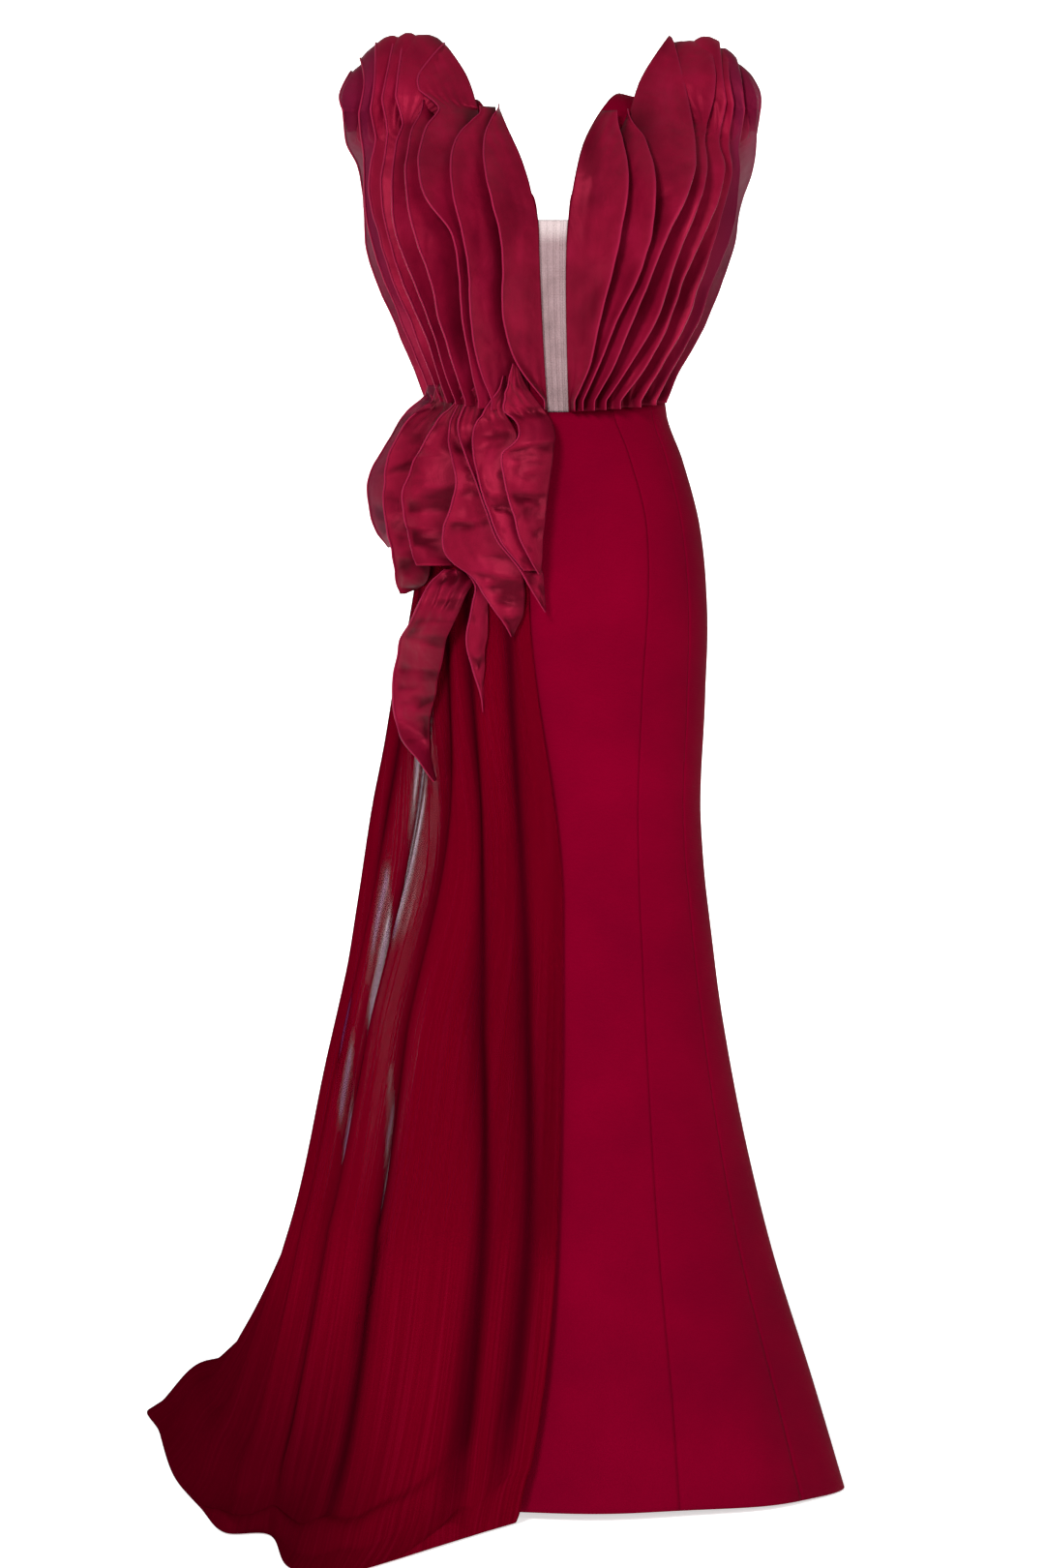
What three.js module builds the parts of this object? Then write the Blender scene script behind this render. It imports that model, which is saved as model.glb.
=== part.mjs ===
// Floor-length evening gown, worn shape, hollow. Millimetres, +Z up, the front faces -Y.
// Heights in the tables are above the floor; the finished part is shifted so that the
// middle of the shoulders, where the wearer holds it, is the origin.
import * as THREE from "three";

const HOLD_HEIGHT = 1500;
const CREPE_WALL = 1.6;
const ORGANZA_WALL = 1.2;
const TULLE_WALL = 1.0;
const SEAM_GAP = 0.3;
const FLOOR_CLEAR = 1.2;

const WAIST_FRONT = 1170;
const WAIST_SIDE_RISE = 14;
const HEM_FRONT_LIFT = 8;
const CAP_START = 1400;
const SHOULDER_TOP = 1515;
const SHOULDER_SLOPE = 0.27;
const NECK_HALF = 60;

// Horizontal sections of the figure: half width, front and back depth, sideways sway.
const SECTIONS = [
  { z: 0, half: 301, front: 194, back: 258, sway: 6 },
  { z: 120, half: 262, front: 172, back: 234, sway: 9.5 },
  { z: 250, half: 220, front: 148, back: 200, sway: 11.5 },
  { z: 357, half: 192.5, front: 130, back: 170, sway: 13.5 },
  { z: 463, half: 171, front: 115, back: 142, sway: 14.7 },
  { z: 569, half: 155, front: 103, back: 120, sway: 14.7 },
  { z: 727, half: 140.6, front: 95, back: 103, sway: 13 },
  { z: 864, half: 147.5, front: 104, back: 115, sway: 10.5 },
  { z: 960, half: 152, front: 108, back: 129, sway: 8 },
  { z: 1050, half: 147.5, front: 106, back: 122, sway: 4 },
  { z: 1120, half: 133, front: 98, back: 98, sway: 0 },
  { z: 1172, half: 117, front: 90, back: 82, sway: -2 },
  { z: 1240, half: 122, front: 97, back: 87, sway: -4 },
  { z: 1290, half: 131, front: 107, back: 93, sway: -5 },
  { z: 1345, half: 141, front: 119, back: 98, sway: -6 },
  { z: 1400, half: 149, front: 117, back: 100, sway: -6 },
  { z: 1440, half: 160, front: 114, back: 98, sway: -6 },
  { z: 1475, half: 176, front: 112, back: 97, sway: -6 },
  { z: 1520, half: 180, front: 110, back: 96, sway: -6 },
];

function spline(rows, key, at, field) {
  const last = rows.length - 1;
  const up = rows[last][key] > rows[0][key];
  const t = up ? at : -at;
  const pos = (i) => (up ? rows[i][key] : -rows[i][key]);
  if (t <= pos(0)) return rows[0][field];
  if (t >= pos(last)) return rows[last][field];
  let i = 0;
  while (t > pos(i + 1)) i += 1;
  const slope = (j) => {
    const lo = Math.max(j - 1, 0);
    const hi = Math.min(j + 1, last);
    return (rows[hi][field] - rows[lo][field]) / (pos(hi) - pos(lo));
  };
  const step = pos(i + 1) - pos(i);
  const s = (t - pos(i)) / step;
  const s2 = s * s;
  const s3 = s2 * s;
  return (2 * s3 - 3 * s2 + 1) * rows[i][field]
    + (s3 - 2 * s2 + s) * step * slope(i)
    + (3 * s2 - 2 * s3) * rows[i + 1][field]
    + (s3 - s2) * step * slope(i + 1);
}

const lerp = (a, b, t) => a + (b - a) * t;
const sine = (deg) => Math.sin(THREE.MathUtils.degToRad(deg));
const cosine = (deg) => Math.cos(THREE.MathUtils.degToRad(deg));
const shoulderHeight = (x) => SHOULDER_TOP - SHOULDER_SLOPE * Math.max(0, Math.abs(x) - NECK_HALF);
const waistHeight = (deg) => WAIST_FRONT + WAIST_SIDE_RISE * sine(deg) ** 2;

// Point of the figure at an angle from the front (wearer's left positive) and a height,
// moved out by a stand. Above the cap start the shoulders round over to one ridge.
function figure(deg, z, stand = 0) {
  const half = spline(SECTIONS, "z", z, "half") + stand;
  const x = spline(SECTIONS, "z", z, "sway") + half * sine(deg);
  let depth = spline(SECTIONS, "z", z, cosine(deg) > 0 ? "front" : "back");
  if (z > CAP_START) {
    const rise = Math.min(0.995, (z - CAP_START) / (shoulderHeight(x) - CAP_START));
    depth *= Math.sqrt(1 - rise * rise);
  }
  return new THREE.Vector3(x, -(depth + stand) * cosine(deg), z);
}

// Point over the front of the figure at a given x, moved out by a stand.
const SIDE_TURN = 0.03;
function overFront(x, z, stand, aft = 0) {
  const half = spline(SECTIONS, "z", z, "half") + stand;
  const front = spline(SECTIONS, "z", z, "front") + stand;
  const s = (x - spline(SECTIONS, "z", z, "sway")) / half;
  return new THREE.Vector3(x, aft - front * Math.sqrt(Math.max(SIDE_TURN, 1 - s * s)), z);
}

// One closed cloth solid: a grid of points thickened half to each side, rims closed.
function clothSolid(name, material, point, columns, rows, wall) {
  const grid = [];
  for (let j = 0; j <= rows; j += 1) {
    for (let i = 0; i <= columns; i += 1) grid.push(point(i / columns, j / rows));
  }
  const at = (i, j) => j * (columns + 1) + i;
  const side = (i, j) => {
    const across = grid[at(Math.min(i + 1, columns), j)].clone().sub(grid[at(Math.max(i - 1, 0), j)]);
    const along = grid[at(i, Math.min(j + 1, rows))].clone().sub(grid[at(i, Math.max(j - 1, 0))]);
    return across.cross(along).normalize().multiplyScalar(wall / 2);
  };
  const count = grid.length;
  const positions = new Float32Array(count * 6);
  for (let j = 0; j <= rows; j += 1) {
    for (let i = 0; i <= columns; i += 1) {
      const k = at(i, j);
      const half = side(i, j);
      grid[k].clone().add(half).toArray(positions, k * 3);
      grid[k].clone().sub(half).toArray(positions, (k + count) * 3);
    }
  }
  const faces = [];
  for (let j = 0; j < rows; j += 1) {
    for (let i = 0; i < columns; i += 1) {
      const [a, b, c, d] = [at(i, j), at(i + 1, j), at(i + 1, j + 1), at(i, j + 1)];
      const straight = grid[a].distanceTo(grid[c]) <= grid[b].distanceTo(grid[d]);
      const pair = straight ? [[a, b, c], [a, c, d]] : [[a, b, d], [b, c, d]];
      for (const [p, q, r] of pair) {
        faces.push(p, q, r);
        faces.push(p + count, r + count, q + count);
      }
    }
  }
  const rim = (p, q) => faces.push(p, q + count, q, p, p + count, q + count);
  for (let i = 0; i < columns; i += 1) {
    rim(at(i, 0), at(i + 1, 0));
    rim(at(i + 1, rows), at(i, rows));
  }
  for (let j = 0; j < rows; j += 1) {
    rim(at(columns, j), at(columns, j + 1));
    rim(at(0, j + 1), at(0, j));
  }
  const geometry = new THREE.BufferGeometry();
  geometry.setAttribute("position", new THREE.BufferAttribute(positions, 3));
  geometry.setIndex(faces);
  geometry.translate(0, 0, -HOLD_HEIGHT);
  geometry.computeVertexNormals();
  const mesh = new THREE.Mesh(geometry, material.clone());
  mesh.name = name;
  return mesh;
}

const crepe = new THREE.MeshStandardMaterial({ name: "crepe", color: 0x82001f, roughness: 0.8 });
const organza = new THREE.MeshStandardMaterial({ name: "organza", color: 0x7d0f2b, roughness: 0.5 });
const tulle = new THREE.MeshStandardMaterial({ name: "tulle", color: 0x66000f, roughness: 0.8 });
const nudeMesh = new THREE.MeshStandardMaterial({ name: "nude_mesh", color: 0xc4aeb2, roughness: 0.8 });

const group = new THREE.Group();
group.name = "ruffled_dress";

// Skirt: seven panels between the princess, side and centre-back seams.
const PRINCESS_SEAM = [
  { z: 0, deg: 24 },
  { z: 470, deg: 28 },
  { z: 690, deg: 30 },
  { z: 880, deg: 32 },
  { z: 1050, deg: 37 },
  { z: 1130, deg: 34 },
  { z: 1172, deg: 30 },
];
const SIDE_SEAM = 59;
const BACK_SEAM = 118;
const SKIRT_PANELS = [
  { name: "skirt_front_centre", from: "-princess", to: "princess", columns: 8 },
  { name: "skirt_front_side_l", from: "princess", to: SIDE_SEAM, columns: 5 },
  { name: "skirt_front_side_r", from: -SIDE_SEAM, to: "-princess", columns: 5 },
  { name: "skirt_side_l", from: SIDE_SEAM, to: BACK_SEAM, columns: 7 },
  { name: "skirt_side_r", from: -BACK_SEAM, to: -SIDE_SEAM, columns: 7 },
  { name: "skirt_back_l", from: BACK_SEAM, to: 180, columns: 6 },
  { name: "skirt_back_r", from: -180, to: -BACK_SEAM, columns: 6 },
];
const SKIRT_ROWS = 15;
const HEM_WAVE = 3.5;
const HEM_WAVE_TOP = 520;
const HEM_WAVES_A_TURN = 9;
const HEM_WAVE_START = 40;

function seamDegrees(seam, z) {
  if (seam === "princess") return spline(PRINCESS_SEAM, "z", z, "deg");
  if (seam === "-princess") return -spline(PRINCESS_SEAM, "z", z, "deg");
  return seam;
}

function skirtPoint(deg, z) {
  const low = Math.max(0, 1 - z / HEM_WAVE_TOP);
  return figure(deg, z, HEM_WAVE * low * sine(deg * HEM_WAVES_A_TURN + HEM_WAVE_START));
}

for (const panel of SKIRT_PANELS) {
  const point = (u, v) => {
    const guess = lerp(0, WAIST_FRONT, v);
    const middle = lerp(seamDegrees(panel.from, guess), seamDegrees(panel.to, guess), u);
    const low = HEM_FRONT_LIFT * Math.max(0, cosine(middle)) ** 2 + FLOOR_CLEAR;
    const z = lerp(low, waistHeight(middle) - SEAM_GAP, v);
    const inset = THREE.MathUtils.radToDeg(SEAM_GAP / 2 / spline(SECTIONS, "z", z, "front"));
    const deg = lerp(seamDegrees(panel.from, z) + inset, seamDegrees(panel.to, z) - inset, u);
    return skirtPoint(deg, z);
  };
  group.add(clothSolid(panel.name, crepe, point, panel.columns, SKIRT_ROWS, CREPE_WALL));
}

// Bodice base: fronts and backs from the waist to the shoulder ridge, open at the neck
// and armholes. Rows run up the panel; "cap" rows are degrees over the shoulder.
const FRONT_ROWS = [
  { t: 0, z: 1170, cap: 0, neckR: 11, neckL: 11, arm: 90 },
  { t: 1, z: 1225, cap: 0, neckR: 13, neckL: 11, arm: 90 },
  { t: 2, z: 1290, cap: 0, neckR: 15, neckL: 11, arm: 90 },
  { t: 3, z: 1335, cap: 0, neckR: 16, neckL: 12, arm: 90 },
  { t: 4, z: 1370, cap: 0, neckR: 17, neckL: 14, arm: 76 },
  { t: 5, z: 1400, cap: 0, neckR: 24, neckL: 18, arm: 66 },
  { t: 6, z: 1400, cap: 30, neckR: 46, neckL: 28, arm: 63 },
  { t: 7, z: 1400, cap: 60, neckR: 62, neckL: 46, arm: 70 },
  { t: 8, z: 1400, cap: 86, neckR: 70, neckL: 60, arm: 84 },
];
const BACK_ROWS = [
  { t: 0, z: 1170, cap: 0, neckR: 0, neckL: 0, arm: 90 },
  { t: 1, z: 1225, cap: 0, neckR: 0, neckL: 0, arm: 90 },
  { t: 2, z: 1290, cap: 0, neckR: 0, neckL: 0, arm: 90 },
  { t: 3, z: 1335, cap: 0, neckR: 0, neckL: 0, arm: 90 },
  { t: 4, z: 1370, cap: 0, neckR: 6, neckL: 6, arm: 80 },
  { t: 5, z: 1400, cap: 0, neckR: 34, neckL: 30, arm: 72 },
  { t: 6, z: 1400, cap: 30, neckR: 56, neckL: 46, arm: 70 },
  { t: 7, z: 1400, cap: 60, neckR: 68, neckL: 58, arm: 74 },
  { t: 8, z: 1400, cap: 86, neckR: 72, neckL: 64, arm: 84 },
];
const BASE_SPLITS = 2;
const BASE_COLUMNS = 8;
const CAP_MIDDLE = 1460;
const SIDE_HALF_GAP = 0.12;
const ROW_RISE = 2;

function basePoint(rows, back, sign, u, v) {
  const t = v * (rows.length - 1);
  const cap = spline(rows, "t", t, "cap");
  const neckX = Math.max(0, spline(rows, "t", t, sign < 0 ? "neckR" : "neckL"));
  const level = spline(rows, "t", t, "z");
  const half = spline(SECTIONS, "z", level, "half");
  const neckDeg = THREE.MathUtils.radToDeg(Math.asin(Math.min(1, (neckX + SEAM_GAP / 2) / half)));
  let deg = lerp(neckDeg, spline(rows, "t", t, "arm"), u);
  deg = Math.min(deg, 90 - (cap === 0 ? SIDE_HALF_GAP : 0));
  const turned = back ? 180 - deg : deg;
  const z = v === 0 ? waistHeight(deg) + SEAM_GAP : Math.max(level, waistHeight(deg) + ROW_RISE * t);
  if (cap <= 0) return figure(sign * turned, z);
  const xAt = spline(SECTIONS, "z", z, "sway")
    + sign * spline(SECTIONS, "z", CAP_MIDDLE, "half") * sine(deg);
  const top = CAP_START + (shoulderHeight(xAt) - CAP_START) * sine(cap);
  return figure(sign * turned, top);
}

for (const sign of [-1, 1]) {
  const hand = sign < 0 ? "r" : "l";
  const splits = (FRONT_ROWS.length - 1) * BASE_SPLITS;
  const front = (u, v) => basePoint(FRONT_ROWS, false, sign, u, v);
  const back = (u, v) => basePoint(BACK_ROWS, true, sign, u, v);
  group.add(clothSolid(`bodice_front_${hand}`, crepe, front, BASE_COLUMNS, splits, CREPE_WALL));
  group.add(clothSolid(`bodice_back_${hand}`, crepe, back, BASE_COLUMNS, splits, CREPE_WALL));
}

// Angle of the front neck edge at each height, for the frill that is sewn along it.
const NECK_STEPS = 32;
const NECK_STEP_RISE = 0.5;
function neckStops(sign) {
  const stops = [];
  for (let k = 0; k <= NECK_STEPS; k += 1) {
    const t = (k / NECK_STEPS) * (FRONT_ROWS.length - 1);
    const level = spline(FRONT_ROWS, "t", t, "z");
    const neckX = spline(FRONT_ROWS, "t", t, sign < 0 ? "neckR" : "neckL");
    const half = spline(SECTIONS, "z", level, "half");
    const deg = THREE.MathUtils.radToDeg(Math.asin(Math.min(1, neckX / half)));
    const x = spline(SECTIONS, "z", level, "sway")
      + sign * spline(SECTIONS, "z", CAP_MIDDLE, "half") * sine(deg);
    const z = level + (shoulderHeight(x) - CAP_START) * sine(spline(FRONT_ROWS, "t", t, "cap"));
    const last = stops[stops.length - 1];
    if (!last || z > last.z + NECK_STEP_RISE) stops.push({ z, deg });
  }
  return stops;
}

// Narrow nude mesh insert that fills the foot of the neckline.
const INSERT_TOP = 1372;
const INSERT_ROWS = 8;
group.add(clothSolid("nude_mesh_insert", nudeMesh, (u, v) => {
  const z = lerp(WAIST_FRONT + SEAM_GAP, INSERT_TOP, v);
  const t = spline(FRONT_ROWS.filter((row) => row.cap === 0).slice(0, -1), "z", z, "t");
  const half = spline(SECTIONS, "z", z, "half");
  const right = -spline(FRONT_ROWS, "t", t, "neckR") + SEAM_GAP;
  const left = spline(FRONT_ROWS, "t", t, "neckL") - SEAM_GAP;
  const deg = THREE.MathUtils.radToDeg(Math.asin(lerp(right, left, u) / half));
  return figure(deg, z);
}, 2, INSERT_ROWS, TULLE_WALL));

// Point a share u along the curve from a to b that is drawn towards a bend.
function bowed(a, bend, b, u) {
  return a.clone().multiplyScalar((1 - u) ** 2)
    .addScaledVector(bend, 2 * u * (1 - u))
    .addScaledVector(b, u * u);
}

// One frill: a strip between its sewn root line and its free edge, curling up to the edge.
const BEND_SHARE = 0.55;
function frillPoint(root, edge, curl, u, v) {
  const a = root(v);
  const b = edge(v);
  const bend = a.clone().lerp(b, BEND_SHARE);
  const away = new THREE.Vector3(bend.x, bend.y, 0).normalize();
  bend.addScaledVector(away, -curl);
  return bowed(a, bend, b, u);
}

// Bodice frills. Free-edge x at each height, then depth and root angle of each frill.
const RIGHT_EDGES = [
  {
    z: 1490, f1: -69, f2: -83, f3: -134, f4: -150,
    f5: -168, f6: -176, f7: -190, f8: -201, f9: -233,
  },
  {
    z: 1462, f1: -79, f2: -109, f3: -145, f4: -157,
    f5: -174, f6: -183, f7: -197, f8: -206, f9: -227,
  },
  {
    z: 1430, f1: -80, f2: -117, f3: -150, f4: -163,
    f5: -179, f6: -189, f7: -203, f8: -209, f9: -217,
  },
  {
    z: 1395, f1: -74, f2: -114, f3: -141, f4: -162,
    f5: -178, f6: -191, f7: -203, f8: -208, f9: -212,
  },
  {
    z: 1355, f1: -64, f2: -103, f3: -114, f4: -152,
    f5: -171, f6: -182, f7: -193, f8: -201, f9: -208,
  },
  {
    z: 1310, f1: -62, f2: -96, f3: -106, f4: -137,
    f5: -156, f6: -168, f7: -178, f8: -188, f9: -196,
  },
  {
    z: 1265, f1: -61, f2: -93, f3: -103, f4: -128,
    f5: -139, f6: -149, f7: -159, f8: -168, f9: -176,
  },
  {
    z: 1220, f1: -46, f2: -87, f3: -94, f4: -114,
    f5: -124, f6: -133, f7: -142, f8: -149, f9: -156,
  },
  {
    z: 1182, f1: -17, f2: -74, f3: -87, f4: -100,
    f5: -111, f6: -120, f7: -128, f8: -135, f9: -143,
  },
];
const LEFT_EDGES = [
  {
    z: 1490, f1: 60, f2: 78, f3: 138, f4: 159,
    f5: 170, f6: 179, f7: 190, f8: 210,
  },
  {
    z: 1462, f1: 64, f2: 88, f3: 142, f4: 154,
    f5: 169, f6: 179, f7: 192, f8: 210,
  },
  {
    z: 1430, f1: 68, f2: 96, f3: 142, f4: 155,
    f5: 174, f6: 183, f7: 194, f8: 208,
  },
  {
    z: 1395, f1: 68, f2: 98, f3: 132, f4: 146,
    f5: 165, f6: 177, f7: 189, f8: 197,
  },
  {
    z: 1355, f1: 62, f2: 94, f3: 113, f4: 130,
    f5: 149, f6: 165, f7: 181, f8: 190,
  },
  {
    z: 1310, f1: 51, f2: 81, f3: 95, f4: 115,
    f5: 129, f6: 149, f7: 164, f8: 175,
  },
  {
    z: 1265, f1: 41, f2: 60, f3: 74, f4: 99,
    f5: 114, f6: 132, f7: 147, f8: 157,
  },
  {
    z: 1220, f1: 31, f2: 41, f3: 56, f4: 74,
    f5: 91, f6: 109, f7: 123, f8: 133,
  },
  {
    z: 1182, f1: 15, f2: 24, f3: 36, f4: 48,
    f5: 64, f6: 86, f7: 103, f8: 115,
  },
];
const RIGHT_FRILLS = [
  {
    name: "f1", top: 1490, capY: -80, bustY: -150, waistY: -104,
    rootCap: 22, rootBust: 9, rootRib: 9, rootWaist: 6,
  },
  {
    name: "f2", top: 1490, capY: -74, bustY: -150, waistY: -105,
    rootCap: 25, rootBust: 17, rootRib: 18, rootWaist: 14,
  },
  {
    name: "f3", top: 1490, capY: -56, bustY: -146, waistY: -102,
    rootCap: 33, rootBust: 24, rootRib: 27, rootWaist: 27,
  },
  {
    name: "f4", top: 1488, capY: -48, bustY: -128, waistY: -96,
    rootCap: 40, rootBust: 31, rootRib: 36, rootWaist: 38,
  },
  {
    name: "f5", top: 1482, capY: -42, bustY: -100, waistY: -84,
    rootCap: 47, rootBust: 38, rootRib: 45, rootWaist: 47,
  },
  {
    name: "f6", top: 1474, capY: -34, bustY: -68, waistY: -70,
    rootCap: 53, rootBust: 44, rootRib: 54, rootWaist: 55,
  },
  {
    name: "f7", top: 1472, capY: -22, bustY: -34, waistY: -52,
    rootCap: 58, rootBust: 49, rootRib: 62, rootWaist: 63,
  },
  {
    name: "f8", top: 1472, capY: -8, bustY: 0, waistY: -32,
    rootCap: 62, rootBust: 54, rootRib: 70, rootWaist: 71,
  },
  {
    name: "f9", top: 1471, capY: 10, bustY: 36, waistY: -10,
    rootCap: 72, rootBust: 62, rootRib: 78, rootWaist: 79,
  },
];
const LEFT_FRILLS = [
  {
    name: "f1", top: 1490, capY: -84, bustY: -150, waistY: -104,
    rootCap: 20, rootBust: 9, rootRib: 9, rootWaist: 6,
  },
  {
    name: "f2", top: 1490, capY: -78, bustY: -150, waistY: -105,
    rootCap: 25, rootBust: 16, rootRib: 17, rootWaist: 9,
  },
  {
    name: "f3", top: 1490, capY: -58, bustY: -142, waistY: -104,
    rootCap: 32, rootBust: 23, rootRib: 26, rootWaist: 12,
  },
  {
    name: "f4", top: 1488, capY: -46, bustY: -120, waistY: -101,
    rootCap: 40, rootBust: 31, rootRib: 35, rootWaist: 17,
  },
  {
    name: "f5", top: 1482, capY: -40, bustY: -94, waistY: -96,
    rootCap: 47, rootBust: 38, rootRib: 45, rootWaist: 24,
  },
  {
    name: "f6", top: 1474, capY: -30, bustY: -64, waistY: -84,
    rootCap: 54, rootBust: 45, rootRib: 54, rootWaist: 34,
  },
  {
    name: "f7", top: 1472, capY: -16, bustY: -26, waistY: -66,
    rootCap: 60, rootBust: 52, rootRib: 64, rootWaist: 46,
  },
  {
    name: "f8", top: 1476, capY: 8, bustY: 28, waistY: -44,
    rootCap: 66, rootBust: 59, rootRib: 76, rootWaist: 58,
  },
];
const TACK_HEIGHT = 1490;
const BUST_HEIGHT = 1385;
const RIB_HEIGHT = 1305;
const FRILL_FOOT = 1187;
const FOOT_GAP = 1.2;
const CAP_UNCURL = 1.4;
const ROOT_STAND = 1.8;
const CAP_STAND = 7;
const FRILL_CURL = 5;
const FRILL_ROWS = 13;
const FRILL_COLUMNS = 3;

function frillSpec(row, first, bust, rib, waist) {
  const stops = [
    { z: FRILL_FOOT, v: row[waist] },
    { z: BUST_HEIGHT, v: row[bust] },
    { z: TACK_HEIGHT, v: row[first] },
  ];
  if (rib) stops.splice(1, 0, { z: RIB_HEIGHT, v: row[rib] });
  return (z) => spline(stops, "z", z, "v");
}

for (const [sign, frills, edges] of [[-1, RIGHT_FRILLS, RIGHT_EDGES], [1, LEFT_FRILLS, LEFT_EDGES]]) {
  for (const row of frills) {
    const depth = frillSpec(row, "capY", "bustY", null, "waistY");
    const rootDeg = frillSpec(row, "rootCap", "rootBust", "rootRib", "rootWaist");
    const foot = sign < 0 ? FRILL_FOOT : waistHeight(row.rootWaist) + FOOT_GAP;
    const height = (v) => lerp(row.top, foot, v);
    const neck = neckStops(sign);
    const rootAt = (z) => (row.name === "f1" ? spline(neck, "z", z, "deg") : rootDeg(z));
    const edge = (v) => {
      const z = height(v);
      return new THREE.Vector3(spline(edges, "z", z, row.name), depth(z), z);
    };
    const rise = (z) => Math.max(0, (z - CAP_START) / (row.top - CAP_START));
    const root = (v) => {
      const z = height(v);
      return figure(sign * rootAt(z), z, ROOT_STAND + CAP_STAND * rise(z) ** 2);
    };
    const name = `bodice_frill_${sign < 0 ? "r" : "l"}${row.name.slice(1)}`;
    const curl = (v) => FRILL_CURL * (1 - Math.min(1, CAP_UNCURL * rise(height(v))));
    const point = (u, v) => frillPoint(root, edge, curl(v), u, v);
    group.add(clothSolid(name, organza, point, FRILL_COLUMNS, FRILL_ROWS, ORGANZA_WALL));
  }
}

// Shoulder petals: arches over the shoulder from the front tack to the back. Free edge at
// tack, middle and crown, and the x where the root is sewn along the ridge.
const PETALS = [
  {
    name: "r1", tackX: -149, tackZ: 1508, midX: -151, midZ: 1532,
    crownX: -124, crownZ: 1568, rootX: -84,
  },
  {
    name: "r2", tackX: -176, tackZ: 1500, midX: -173, midZ: 1531,
    crownX: -167, crownZ: 1566, rootX: -122,
  },
  {
    name: "r3", tackX: -192, tackZ: 1496, midX: -185, midZ: 1530,
    crownX: -176, crownZ: 1560, rootX: -138,
  },
  {
    name: "r4", tackX: -205, tackZ: 1486, midX: -199, midZ: 1526,
    crownX: -197, crownZ: 1554, rootX: -152,
  },
  {
    name: "r5", tackX: -217, tackZ: 1482, midX: -211, midZ: 1518,
    crownX: -213, crownZ: 1542, rootX: -164,
  },
  {
    name: "r6", tackX: -231, tackZ: 1488, midX: -235, midZ: 1508,
    crownX: -224, crownZ: 1536, rootX: -176,
  },
  {
    name: "l1", tackX: 138, tackZ: 1500, midX: 131, midZ: 1532,
    crownX: 122, crownZ: 1568, rootX: 76,
  },
  {
    name: "l2", tackX: 162, tackZ: 1500, midX: 164, midZ: 1532,
    crownX: 159, crownZ: 1562, rootX: 112,
  },
  {
    name: "l3", tackX: 174, tackZ: 1494, midX: 174, midZ: 1528,
    crownX: 171, crownZ: 1558, rootX: 126,
  },
  {
    name: "l4", tackX: 186, tackZ: 1490, midX: 183, midZ: 1524,
    crownX: 181, crownZ: 1552, rootX: 140,
  },
  {
    name: "l5", tackX: 198, tackZ: 1486, midX: 196, midZ: 1518,
    crownX: 191, crownZ: 1545, rootX: 154,
  },
  {
    name: "l6", tackX: 212, tackZ: 1488, midX: 214, midZ: 1510,
    crownX: 204, crownZ: 1536, rootX: 166,
  },
];
// Roots of the petals that rise from the neckline instead of the ridge.
const NECK_ROOTS = {
  r1: {
    frontX: -84, frontZ: 1488, midX: -99, midY: -34, midZ: 1530,
    crownX: -121, crownZ: 1566,
  },
  r2: {
    frontX: -98, frontZ: 1495, midX: -106, midY: -20, midZ: 1530,
    crownX: -133, crownZ: 1560,
  },
  l1: {
    frontX: 74, frontZ: 1492, midX: 90, midY: -36, midZ: 1532,
    crownX: 119, crownZ: 1568,
  },
};
const PETAL_TACK_Y = -50;
const PETAL_MID_Y = -37;
const PETAL_BACK_Y = 52;
const PETAL_ROWS = 12;
const PETAL_DROP = 7;
const PETAL_SEAT = 2.8;
const NECK_SEAT = 1.9;
const PETAL_BACK_DROP = 10;
const PETAL_NEAR = 2;
const HOOK_ACROSS = 0.12;
const HOOK_RISE = 1.06;
const NECK_BEND = 0.5;

// Point of the shoulder cap at a given x and height, on its front (-1) or back (1) face.
function overRidge(x, z, face, stand) {
  const s = (x - spline(SECTIONS, "z", z, "sway")) / spline(SECTIONS, "z", z, "half");
  const deg = THREE.MathUtils.radToDeg(Math.asin(THREE.MathUtils.clamp(s, -0.99, 0.99)));
  return figure(face < 0 ? deg : 180 - deg, z, stand);
}

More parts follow.
